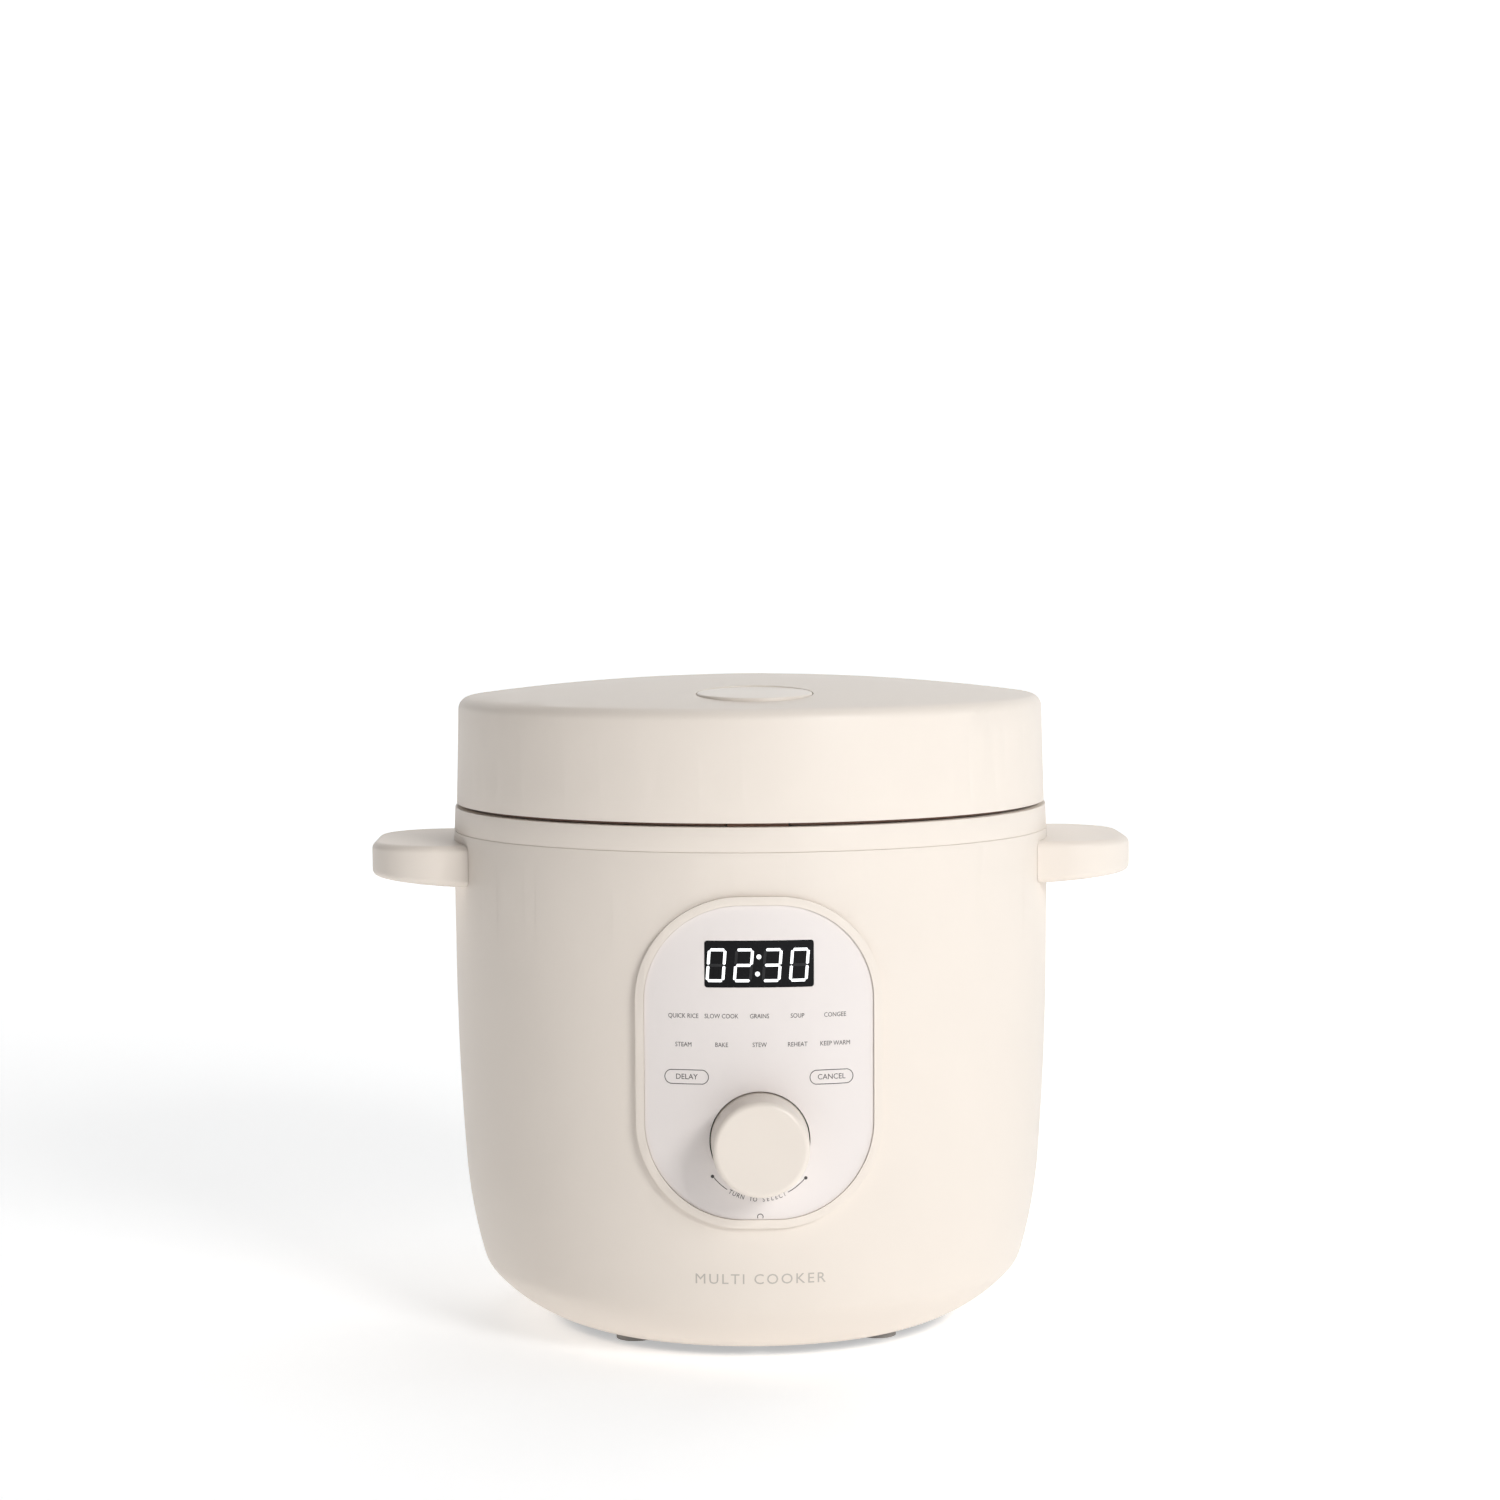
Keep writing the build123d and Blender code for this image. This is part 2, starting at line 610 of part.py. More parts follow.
with BuildPart() as inner_pot:
    with BuildSketch(Plane.XZ):
        with BuildLine():
            FilletPolyline((0, POT_BOTTOM), (POT_RADIUS, POT_BOTTOM), (POT_RADIUS, RIM_UNDER),
                           (RIM_RADIUS, RIM_UNDER), (RIM_RADIUS, RIM_TOP), (POT_RADIUS - POT_WALL, RIM_TOP),
                           (POT_RADIUS - POT_WALL, POT_BOTTOM + POT_WALL), (0, POT_BOTTOM + POT_WALL),
                           radius=[0, 18.0, 0, 0, 0, 0, 16.2, 0], close=True)
        make_face()
    revolve(axis=Axis.Z)
inner_pot.part.label = "inner_pot"
export_step(inner_pot.part, "parts/inner_pot.step")

# ---------------------------------------------------------------- electrics
with BuildPart() as power_board:
    with BuildSketch(Plane.XY.offset(BOARD_Z)):
        RectangleRounded(110, 68, 4)
    extrude(amount=BOARD_THICKNESS)
power_board.part.label = "power_board"
export_step(power_board.part, "parts/power_board.step")

BOARD_TOP = BOARD_Z + BOARD_THICKNESS
with BuildPart() as transformer:
    with BuildSketch(Plane.XY.offset(BOARD_TOP)):
        with Locations((-30, -8)):
            RectangleRounded(34, 28, 2)
    extrude(amount=22)
transformer.part.label = "transformer"
export_step(transformer.part, "parts/transformer.step")

with BuildPart() as relay:
    with BuildSketch(Plane.XY.offset(BOARD_TOP)):
        with Locations((26, -16)):
            RectangleRounded(20, 16, 1)
    extrude(amount=16)
relay.part.label = "relay"
export_step(relay.part, "parts/relay.step")

with BuildPart() as capacitors:
    with BuildSketch(Plane.XY.offset(BOARD_TOP)):
        with Locations((20, 12), (36, 12)):
            Circle(6)
    extrude(amount=18)
capacitors.part.label = "capacitors"
export_step(capacitors.part, "parts/capacitors.step")

INLET_BACK = 78.0
INLET_FACE = 106.5
CAVITY_FLOOR = 88.0
with BuildPart() as inlet_housing:
    with BuildSketch(Plane.XZ.offset(-INLET_BACK)):
        with Locations((0, INLET_Z)):
            RectangleRounded(INLET_SIZE[0], INLET_SIZE[1], 2.0)
    extrude(amount=-(INLET_FACE - INLET_BACK))
    with BuildSketch(Plane.XZ.offset(-CAVITY_FLOOR)):
        with Locations((0, INLET_Z)):
            RectangleRounded(24.4, 16.4, 3.0)
    extrude(amount=-20, mode=Mode.SUBTRACT)
    with BuildSketch(Plane.XZ.offset(-74)):
        with Locations((-7, INLET_Z + 2), (7, INLET_Z + 2), (0, INLET_Z - 2)):
            Rectangle(2.1, 4.1)
    extrude(amount=-20, mode=Mode.SUBTRACT)
inlet_housing.part.label = "inlet_housing"
export_step(inlet_housing.part, "parts/inlet_housing.step")

with BuildPart() as inlet_pins:
    with BuildSketch(Plane.XZ.offset(-70)):
        with Locations((-7, INLET_Z + 2), (7, INLET_Z + 2), (0, INLET_Z - 2)):
            Rectangle(2.0, 4.0)
    extrude(amount=-30)
inlet_pins.part.label = "inlet_pins"
export_step(inlet_pins.part, "parts/inlet_pins.step")

# ---------------------------------------------------------------- lid: cover and liner
BOSS_ANGLES = [30, 150, 210, 330]
BOSS_RING = 96.0
BOSS_SPOTS = [(BOSS_RING * cos(radians(a)), BOSS_RING * sin(radians(a))) for a in BOSS_ANGLES]
BUTTON_WELL_FLOOR = 214.0
VENT_WELL_FLOOR = 216.0
WELL_WALL = 1.8
KNUCKLE_MIDDLE = 26.0
KNUCKLE_WIDTH = 23.6

with BuildPart() as lid_cover:
    with BuildSketch(Plane.XY.offset(BUTTON_WELL_FLOOR)):
        with Locations((0, BUTTON_Y)):
            Circle(BUTTON_RADIUS + 0.4 + WELL_WALL)
    extrude(amount=40)
    with BuildSketch(Plane.XY.offset(VENT_WELL_FLOOR)):
        with Locations((0, VENT_Y)):
            Circle(VENT_RADIUS + 0.4 + WELL_WALL)
    extrude(amount=40)
    with BuildSketch(Plane.XY.offset(LINER_TOP + 0.1)):
        with Locations(*BOSS_SPOTS):
            Circle(4.0)
    extrude(amount=50)
    with BuildSketch(Plane.XZ):
        lid_section()
    revolve(axis=Axis.Z, mode=Mode.INTERSECT)
    with BuildSketch(Plane.XZ) as cover_section:
        lid_section()
        fillet(cover_section.vertices().sort_by_distance((LID_TOP_RADIUS, 231, 0))[:1], 4.5)
        with BuildLine():
            inner_radius = LID_TOP_RADIUS - LID_WALL
            inner_corner = LID_TOP - LID_WALL - inner_radius ** 2 / (2 * DOME_RADIUS)
            middle = LID_TOP - LID_WALL - (inner_radius / 2) ** 2 / (2 * DOME_RADIUS)
            ThreePointArc((0, LID_TOP - LID_WALL), (inner_radius / 2, middle), (inner_radius, inner_corner))
            Polyline((inner_radius, inner_corner), (LID_BOTTOM_RADIUS - LID_WALL, LID_BOTTOM), (0, LID_BOTTOM),
                     (0, LID_TOP - LID_WALL))
        make_face(mode=Mode.SUBTRACT)
    revolve(axis=Axis.Z)
    with BuildSketch(Plane.XY.offset(BUTTON_WELL_FLOOR + WELL_WALL)):
        with Locations((0, BUTTON_Y)):
            Circle(BUTTON_RADIUS + 0.4)
    extrude(amount=40, mode=Mode.SUBTRACT)
    with BuildSketch(Plane.XY.offset(BUTTON_WELL_FLOOR - 1)):
        with Locations((0, BUTTON_Y - 1)):
            Rectangle(11.2, 7.2)
    extrude(amount=10, mode=Mode.SUBTRACT)
    with BuildSketch(Plane.XY.offset(VENT_WELL_FLOOR + WELL_WALL)):
        with Locations((0, VENT_Y)):
            Circle(VENT_RADIUS + 0.4)
    extrude(amount=40, mode=Mode.SUBTRACT)
    with BuildSketch(Plane.XY.offset(VENT_WELL_FLOOR - 1)):
        with Locations((0, VENT_Y)):
            Circle(9.2)
    extrude(amount=10, mode=Mode.SUBTRACT)
    with BuildSketch(Plane.XY.offset(LINER_TOP)):
        with Locations(*BOSS_SPOTS):
            Circle(1.22)
    extrude(amount=14, mode=Mode.SUBTRACT)
    with BuildSketch(Plane.XY.offset(LID_BOTTOM - 1)):
        with Locations((0, 105)):
            Rectangle(2 * (KNUCKLE_MIDDLE + KNUCKLE_WIDTH / 2) + 1.2, 20)
    extrude(amount=10, mode=Mode.SUBTRACT)
lid_cover.part.label = "lid_cover"
export_step(lid_cover.part, "parts/lid_cover.step")

with BuildPart() as lid_liner:
    with BuildSketch(Plane.XZ):
        rectangle_profile(0, 106.2, LINER_BOTTOM, LINER_TOP)
        rectangle_profile(104.4, 106.2, LINER_TOP, 200.0)
    revolve(axis=Axis.Z)
    with BuildSketch(Plane.XY.offset(LINER_TOP)):
        with Locations((0, VENT_Y)):
            Circle(9.0)
    extrude(amount=26.0)
    with BuildSketch(Plane.XY.offset(LINER_BOTTOM - 1)):
        with Locations((0, VENT_Y)):
            Circle(7.2)
    extrude(amount=40, mode=Mode.SUBTRACT)
    with BuildSketch(Plane.XY.offset(LINER_TOP)):
        with Locations((0, -36.5)):
            Rectangle(16, 3)
        with Locations((-17.5, -66), (17.5, -66)):
            Rectangle(3, 40)
    extrude(amount=8)
    with BuildSketch(Plane.XY.offset(LINER_BOTTOM - 1)):
        with Locations((0, (HOOK_TOE - 100.9) / 2)):
            Rectangle(22.4, 7.2)
        with Locations(*BOSS_SPOTS):
            Circle(1.6)
        Circle(4.1)
    extrude(amount=8, mode=Mode.SUBTRACT)
    for side in (-1, 1):
        with BuildSketch(Plane.YZ.offset(side * KNUCKLE_MIDDLE)):
            with Locations((PIVOT_Y, PIVOT_Z)):
                Circle(KNUCKLE_RADIUS)
            Polygon((98, 192.4), (98, 201), (110, 201), (PIVOT_Y, PIVOT_Z + KNUCKLE_RADIUS),
                    (PIVOT_Y, PIVOT_Z), (PIVOT_Y - KNUCKLE_RADIUS, PIVOT_Z), (111.6, 192.4), align=None)
            with Locations((PIVOT_Y, PIVOT_Z)):
                Circle(PIN_RADIUS + 0.05, mode=Mode.SUBTRACT)
        extrude(amount=KNUCKLE_WIDTH / 2, both=True)
lid_liner.part.label = "lid_liner"
export_step(lid_liner.part, "parts/lid_liner.step")

with BuildPart() as lid_screws:
    with BuildSketch(Plane.XY.offset(LINER_BOTTOM - 1.2)):
        with Locations(*BOSS_SPOTS):
            Circle(2.8)
    extrude(amount=1.2)
    with BuildSketch(Plane.XY.offset(LINER_BOTTOM)):
        with Locations(*BOSS_SPOTS):
            Circle(1.2)
    extrude(amount=13)
lid_screws.part.label = "lid_screws"
export_step(lid_screws.part, "parts/lid_screws.step")

# ---------------------------------------------------------------- lid: plate, seal, sensor
with BuildPart() as inner_lid_plate:
    with BuildSketch(Plane.XY.offset(191.2)):
        Circle(87.0)
        Circle(2.6, mode=Mode.SUBTRACT)
        with Locations((0, VENT_Y)):
            with PolarLocations(4.5, 6):
                Circle(1.2, mode=Mode.SUBTRACT)
    extrude(amount=1.0)
inner_lid_plate.part.label = "inner_lid_plate"
export_step(inner_lid_plate.part, "parts/inner_lid_plate.step")

with BuildPart() as lid_gasket:
    with BuildSketch(Plane.XZ):
        with BuildLine():
            Polyline((86.0, 192.3), (86.0, LINER_BOTTOM), (92.2, LINER_BOTTOM), (92.2, 191.8),
                     (95.4, 190.6), (94.6, RIM_TOP + 0.1), (92.6, RIM_TOP + 0.1), (90.4, 191.0),
                     (87.2, 191.0), (87.2, 192.3), close=True)
        make_face()
    revolve(axis=Axis.Z)
lid_gasket.part.label = "lid_gasket"
export_step(lid_gasket.part, "parts/lid_gasket.step")

with BuildPart() as plate_grommet:
    with BuildSketch(Plane.XZ):
        rectangle_profile(0, 6.0, 189.8, 191.2)
        rectangle_profile(0, 2.5, 191.2, 192.2)
        rectangle_profile(0, 6.0, 192.2, LINER_BOTTOM)
        rectangle_profile(0, 4.0, LINER_BOTTOM, LINER_TOP)
    revolve(axis=Axis.Z)
plate_grommet.part.label = "plate_grommet"
export_step(plate_grommet.part, "parts/plate_grommet.step")

with BuildPart() as lid_sensor:
    with BuildSketch(Plane.XY.offset(LINER_TOP)):
        with Locations((30, 10)):
            Circle(5.0)
    extrude(amount=6)
lid_sensor.part.label = "lid_sensor"
export_step(lid_sensor.part, "parts/lid_sensor.step")

# ---------------------------------------------------------------- lid: steam vent
with BuildPart() as vent_seal:
    with BuildSketch(Plane.XY.offset(VENT_WELL_FLOOR + WELL_WALL)):
        with Locations((0, VENT_Y)):
            Circle(11.4)
            Circle(9.05, mode=Mode.SUBTRACT)
    extrude(amount=1.6)
vent_seal.part.label = "vent_seal"
export_step(vent_seal.part, "parts/vent_seal.step")

with BuildPart() as steam_vent_cap:
    with BuildSketch(Plane.XY.offset(219.6)):
        with Locations((0, VENT_Y)):
            Circle(VENT_RADIUS)
    extrude(amount=40)
    with BuildSketch(Plane.XZ):
        lid_section(0.3)
    revolve(axis=Axis.Z, mode=Mode.INTERSECT)
    with BuildSketch(Plane.XY.offset(219.0)):
        with Locations((0, VENT_Y)):
            Circle(VENT_RADIUS - 1.8)
            Circle(11.4, mode=Mode.SUBTRACT)
            Circle(9.4)
    extrude(amount=12.0, mode=Mode.SUBTRACT)
    with BuildSketch(Plane.XY.offset(226.0)):
        with Locations((0, VENT_Y - 5), (0, VENT_Y), (0, VENT_Y + 5)):
            SlotOverall(16, 2.2)
    extrude(amount=20, mode=Mode.SUBTRACT)
steam_vent_cap.part.label = "steam_vent_cap"
export_step(steam_vent_cap.part, "parts/steam_vent_cap.step")

# ---------------------------------------------------------------- lid: open button and latch
STEM_FRONT = BUTTON_Y - 4.0
STEM_BACK = BUTTON_Y + 2.0
STEM_TIP = 199.6
LATCH_TRAVEL = 2.5
WEDGE_SLOPE = LATCH_TRAVEL / BUTTON_TRAVEL
WEDGE_GAP = 0.32
SLIDER_LOW = 196.8
SLIDER_HIGH = 198.3
RAMP_TOP = 204.25


def wedge_y(height):
    """Place along Y of the stem's slanted face at a height."""
    return STEM_FRONT + (height - STEM_TIP) * WEDGE_SLOPE


with BuildPart() as open_button:
    with BuildSketch(Plane.XY.offset(229.0)):
        with Locations((0, BUTTON_Y)):
            Circle(BUTTON_RADIUS)
    extrude(amount=12)
    with BuildSketch(Plane.YZ):
        Polygon((BUTTON_Y - 22, 228), (BUTTON_Y + 22, 228), (BUTTON_Y + 22, 236.5),
                (BUTTON_Y - 22, 234.3), align=None)
    extrude(amount=30, both=True, mode=Mode.INTERSECT)
    fillet(open_button.edges().group_by(Axis.Z)[-1], 0.7)
    with BuildSketch(Plane.XY.offset(221.0)):
        with Locations((0, BUTTON_Y)):
            Circle(BUTTON_RADIUS - 0.4)
            Circle(BUTTON_RADIUS - 2.0, mode=Mode.SUBTRACT)
    extrude(amount=8.4)
    with BuildSketch(Plane.YZ):
        Polygon((STEM_FRONT, STEM_TIP), (STEM_BACK, STEM_TIP + (STEM_BACK - STEM_FRONT) / WEDGE_SLOPE),
                (STEM_BACK, 229.5), (STEM_FRONT, 229.5), align=None)
    extrude(amount=5.0, both=True)
open_button.part.label = "open_button"
export_step(open_button.part, "parts/open_button.step")

button_spring = coil(10.5, 0.6, 11.7, 4, (0, BUTTON_Y, BUTTON_WELL_FLOOR + WELL_WALL + 0.65))
button_spring.label = "button_spring"
export_step(button_spring, "parts/button_spring.step")

with BuildPart() as latch_slider:
    with BuildSketch(Plane.XY.offset(SLIDER_LOW)):
        with Locations((0, (HOOK_FRONT - 88) / 2)):
            Rectangle(2 * HOOK_HALF_WIDTH, -88 - HOOK_FRONT)
        with Locations((0, -70)):
            Rectangle(30, 36)
        with Locations((0, -74)):
            Rectangle(13, 11, mode=Mode.SUBTRACT)
    extrude(amount=SLIDER_HIGH - SLIDER_LOW)
    with BuildSketch(Plane.YZ):
        Polygon((wedge_y(SLIDER_LOW) + WEDGE_GAP, SLIDER_LOW), (wedge_y(RAMP_TOP) + WEDGE_GAP, RAMP_TOP),
                (-68.0, RAMP_TOP), (-68.0, SLIDER_LOW), align=None)
    extrude(amount=6.6, both=True)
    with BuildSketch(Plane.YZ):
        Polygon((HOOK_FRONT, SLIDER_HIGH), (HOOK_FRONT, 186.7), (HOOK_TOE, 186.7), (HOOK_TOE, 185.9),
                (HOOK_FRONT, 185.0), (HOOK_FRONT + 1.3, 185.0), (HOOK_FRONT + 1.3, SLIDER_HIGH), align=None)
    extrude(amount=HOOK_HALF_WIDTH, both=True)
    with BuildSketch(Plane.XY.offset(SLIDER_HIGH)):
        with Locations((0, -53)):
            Rectangle(12, 2)
    extrude(amount=6)
latch_slider.part.label = "latch_slider"
export_step(latch_slider.part, "parts/latch_slider.step")

# Drawn as short as it gets with the button pressed, so that the slider never runs into it.
latch_spring = coil(2.4, 0.4, 10.0, 5, (0, -48.7, 200.6), direction=(0, 1, 0))
latch_spring.label = "latch_spring"
export_step(latch_spring, "parts/latch_spring.step")
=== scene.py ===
import json
from math import atan2, cos, pi, radians, sin, tan

import bpy
from mathutils import Matrix, Vector


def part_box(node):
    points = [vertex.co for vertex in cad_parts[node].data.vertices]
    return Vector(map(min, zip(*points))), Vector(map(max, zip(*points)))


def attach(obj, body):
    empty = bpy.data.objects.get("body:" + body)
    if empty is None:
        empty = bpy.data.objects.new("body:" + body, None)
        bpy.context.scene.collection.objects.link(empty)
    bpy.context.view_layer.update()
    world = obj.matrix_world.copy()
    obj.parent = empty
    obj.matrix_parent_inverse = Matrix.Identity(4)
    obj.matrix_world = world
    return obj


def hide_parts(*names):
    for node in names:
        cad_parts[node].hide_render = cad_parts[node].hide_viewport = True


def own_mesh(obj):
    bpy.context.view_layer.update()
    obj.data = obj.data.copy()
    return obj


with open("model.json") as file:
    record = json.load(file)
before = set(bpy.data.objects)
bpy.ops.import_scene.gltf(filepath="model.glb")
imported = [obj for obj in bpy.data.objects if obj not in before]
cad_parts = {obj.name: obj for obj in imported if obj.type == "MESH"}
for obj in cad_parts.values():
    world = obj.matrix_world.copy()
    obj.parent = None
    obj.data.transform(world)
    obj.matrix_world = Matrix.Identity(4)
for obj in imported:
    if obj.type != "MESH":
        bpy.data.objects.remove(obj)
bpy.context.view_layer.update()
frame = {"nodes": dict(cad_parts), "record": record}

bl_info = {
    "name": "Electric Cooker Looks",
    "version": (1, 0, 0),
    "blender": (4, 5, 0),
    "location": "3D View > Sidebar > Cooker",
    "description": "Builds the visible pieces and finishes of a round electric cooker",
    "category": "Object",
}

MM = 0.001


# ------------------------------------------------------------------ sizes and colours
class CookerSizes(bpy.types.PropertyGroup):
    """Sizes that a user may change."""
    digit_height: bpy.props.FloatProperty(
        name="Digit height", description="Height of a clock digit", default=11.6 * MM, unit="LENGTH")
    digit_width: bpy.props.FloatProperty(
        name="Digit width", description="Width of a clock digit", default=6.4 * MM, unit="LENGTH")
    digit_slant: bpy.props.FloatProperty(
        name="Digit slant", description="Lean of the clock digits", default=radians(4.5), subtype="ANGLE")
    bar_width: bpy.props.FloatProperty(
        name="Bar width", description="Width of one bar of a clock digit", default=0.98 * MM, unit="LENGTH")
    label_height: bpy.props.FloatProperty(
        name="Label height", description="Capital height of the printed labels",
        default=1.55 * MM, unit="LENGTH")
    pill_width: bpy.props.FloatProperty(
        name="Key outline width", description="Width of an outlined key", default=15.2 * MM, unit="LENGTH")
    pill_height: bpy.props.FloatProperty(
        name="Key outline height", description="Height of an outlined key", default=5.2 * MM, unit="LENGTH")
    arc_radius: bpy.props.FloatProperty(
        name="Dial mark radius", description="Radius of the line printed round the dial",
        default=20.5 * MM, unit="LENGTH")
    edge_round: bpy.props.FloatProperty(
        name="Edge rounding", description="Rounding of the moulded edges", default=0.45 * MM, unit="LENGTH")
    camera_distance: bpy.props.FloatProperty(
        name="Camera distance", description="From the middle of the cooker", default=1250 * MM, unit="LENGTH")
    camera_height: bpy.props.FloatProperty(
        name="Camera height", description="Above the worktop", default=291 * MM, unit="LENGTH")


class CookerColours(bpy.types.PropertyGroup):
    """Colours that a user may change."""
    ivory: bpy.props.FloatVectorProperty(
        name="Ivory", description="Casing plastic", default=(0.80, 0.725, 0.65), subtype="COLOR")
    film: bpy.props.FloatVectorProperty(
        name="Film", description="Printed front film", default=(0.79, 0.735, 0.71), subtype="COLOR")
    print_grey: bpy.props.FloatVectorProperty(
        name="Print", description="Printed labels", default=(0.06, 0.052, 0.05), subtype="COLOR")
    glow: bpy.props.FloatVectorProperty(
        name="Glow", description="Lit digits", default=(0.95, 0.98, 1.0), subtype="COLOR")
    brown: bpy.props.FloatVectorProperty(
        name="Brown", description="Plastic inside the lid", default=(0.10, 0.055, 0.038), subtype="COLOR")


def sizes():
    return bpy.context.scene.cooker_sizes


def colours():
    return bpy.context.scene.cooker_colours


# ------------------------------------------------------------------ shader sums
class Signal:
    """One output socket, usable in Python sums."""

    def __init__(self, finish, socket):
        self.finish = finish
        self.socket = socket

    def combined(self, operation, other):
        return self.finish.node("ShaderNodeMath", {"operation": operation}, {0: self, 1: other})

    def __add__(self, other):
        return self.combined("ADD", other)

    def __sub__(self, other):
        return self.combined("SUBTRACT", other)

    def __mul__(self, other):
        return self.combined("MULTIPLY", other)

    def __gt__(self, other):
        return self.combined("GREATER_THAN", other)


class Finish:
    """A material being made: one Principled shader and the nodes that feed it."""

    def __init__(self, name):
        self.material = bpy.data.materials.new(name)
        self.material.use_nodes = True
        self.tree = self.material.node_tree
        self.shader = self.tree.nodes["Principled BSDF"]
        self.place = self.node("ShaderNodeTexCoord", output="Object")

    def node(self, kind, settings=None, inputs=None, output=0):
        """Adds a node with its settings and the values or links of its sockets."""
        made = self.tree.nodes.new(kind)
        for key, value in (settings or {}).items():
            if key == "stops":
                for element, (position, colour) in zip(made.color_ramp.elements, value):
                    element.position = position
                    element.color = colour
            else:
                setattr(made, key, value)
        for key, value in (inputs or {}).items():
            self.feed(made.inputs[key], value)
        return Signal(self, made.outputs[output])

    def feed(self, socket, value):
        if isinstance(value, Signal):
            self.tree.links.new(value.socket, socket)
        else:
            socket.default_value = value

    def set(self, **values):
        """Sets or links sockets of the shader, named with underscores for spaces."""
        for key, value in values.items():
            self.feed(self.shader.inputs[key.replace("_", " ")], value)
        return self

    def stretched(self, scale):
        return self.node("ShaderNodeMapping", {}, {"Vector": self.place, "Scale": scale})

    def noise(self, scale, detail=3.0, roughness=0.55, place=None):
        return self.node("ShaderNodeTexNoise", {},
                         {"Vector": place or self.place, "Scale": scale, "Detail": detail,
                          "Roughness": roughness})

    def cells(self, scale):
        return self.node("ShaderNodeTexVoronoi", {}, {"Vector": self.place, "Scale": scale})

    def blend_colours(self, factor, first, second):
        return self.node("ShaderNodeMix", {"data_type": "RGBA"},
                         {0: factor, 6: (*first, 1), 7: (*second, 1)}, output=2)

    def bump(self, height, depth, strength=1.0):
        return self.node("ShaderNodeBump", {}, {"Height": height, "Distance": depth, "Strength": strength})


def scaled(colour, amount):
    return tuple(channel * amount for channel in colour)


def moulded(name, colour, roughness, grain_scale=1400.0, grain_depth=0.02 * MM):
    """Injection-moulded plastic: fine spark-eroded grain, slow tone changes and slight handling wear."""
    finish = Finish(name)
    slow = finish.noise(22.0, 2.0)
    grain = finish.noise(grain_scale, 2.0, 0.6)
    pits = finish.cells(grain_scale * 0.6)
    tone = finish.blend_colours(slow, scaled(colour, 0.975), scaled(colour, 1.02))
    finish.set(Base_Color=tone,
               Roughness=slow * 0.06 + grain * 0.08 + (roughness - 0.07),
               Normal=finish.bump(grain + pits * 0.6, grain_depth, 0.5))
    return finish.material


def printed_film(name, colour):
    """Satin polyester film with a very fine velvet texture."""
    finish = Finish(name)
    slow = finish.noise(30.0, 2.0)
    velvet = finish.noise(3800.0, 1.0)
    finish.set(Base_Color=finish.blend_colours(slow, scaled(colour, 0.985), scaled(colour, 1.01)),
               Roughness=velvet * 0.08 + slow * 0.05 + 0.27,
               Normal=finish.bump(velvet, 0.006 * MM, 0.35))
    return finish.material


def polished_smoke(name):
    """Dark polished window with the faintest dust in its gloss."""
    finish = Finish(name)
    dust = finish.noise(600.0, 4.0)
    finish.set(Base_Color=finish.blend_colours(dust, (0.003, 0.003, 0.004), (0.006, 0.006, 0.007)),
               Roughness=dust * 0.05 + 0.06, Specular_IOR_Level=0.12)
    return finish.material


def lit(name, colour, strength):
    """Light behind a segment, a little uneven across it."""
    finish = Finish(name)
    patch = finish.noise(350.0, 1.0)
    finish.set(Base_Color=(0.6, 0.6, 0.6, 1), Roughness=patch * 0.1 + 0.35,
               Emission_Color=finish.blend_colours(patch, scaled(colour, 0.93), colour),
               Emission_Strength=strength)
    return finish.material


def ink(name, colour, gloss=0.5):
    """Screen-printed ink: thin, matt and slightly uneven."""
    finish = Finish(name)
    patch = finish.noise(2600.0, 3.0)
    finish.set(Base_Color=finish.blend_colours(patch, scaled(colour, 0.85), scaled(colour, 1.15)),
               Roughness=patch * 0.1 + 0.45, Normal=finish.bump(patch, 0.004 * MM, 0.4),
               Specular_IOR_Level=gloss)
    return finish.material


def metal(name, colour, roughness, stretch=(1, 1, 1), scale=900.0, depth=0.006 * MM):
    """Metal with drawing or brushing lines along the direction that stretch leaves long."""
    finish = Finish(name)
    lines = finish.noise(scale, 4.0, 0.6, finish.stretched(stretch))
    smear = finish.noise(35.0, 2.0)
    finish.set(Base_Color=finish.blend_colours(lines, scaled(colour, 0.9), scaled(colour, 1.06)),
               Metallic=1.0, Roughness=lines * 0.14 + smear * 0.08 + (roughness - 0.1),
               Normal=finish.bump(lines, depth, 0.5))
    return finish.material


def coated_pot(name):
    """Non-stick coating: near black with fine pale flecks and a soft sheen."""
    finish = Finish(name)
    fleck = finish.cells(900.0) > 0.62
    body = finish.noise(240.0, 3.0)
    finish.set(Base_Color=finish.blend_colours(fleck * 0.5, (0.03, 0.03, 0.032), (0.2, 0.19, 0.18)),
               Roughness=body * 0.14 + 0.3, Normal=finish.bump(body, 0.02 * MM, 0.4))
    return finish.material


def rubbery(name, colour, roughness=0.75):
    """Moulded rubber or silicone with a dry, slightly dusty surface."""
    finish = Finish(name)
    dust = finish.noise(160.0, 5.0, 0.65)
    grain = finish.noise(1900.0, 1.0)
    finish.set(Base_Color=finish.blend_colours(dust, scaled(colour, 0.85), scaled(colour, 1.15)),
               Roughness=dust * 0.16 + (roughness - 0.08), Normal=finish.bump(grain, 0.012 * MM, 0.5))
    return finish.material


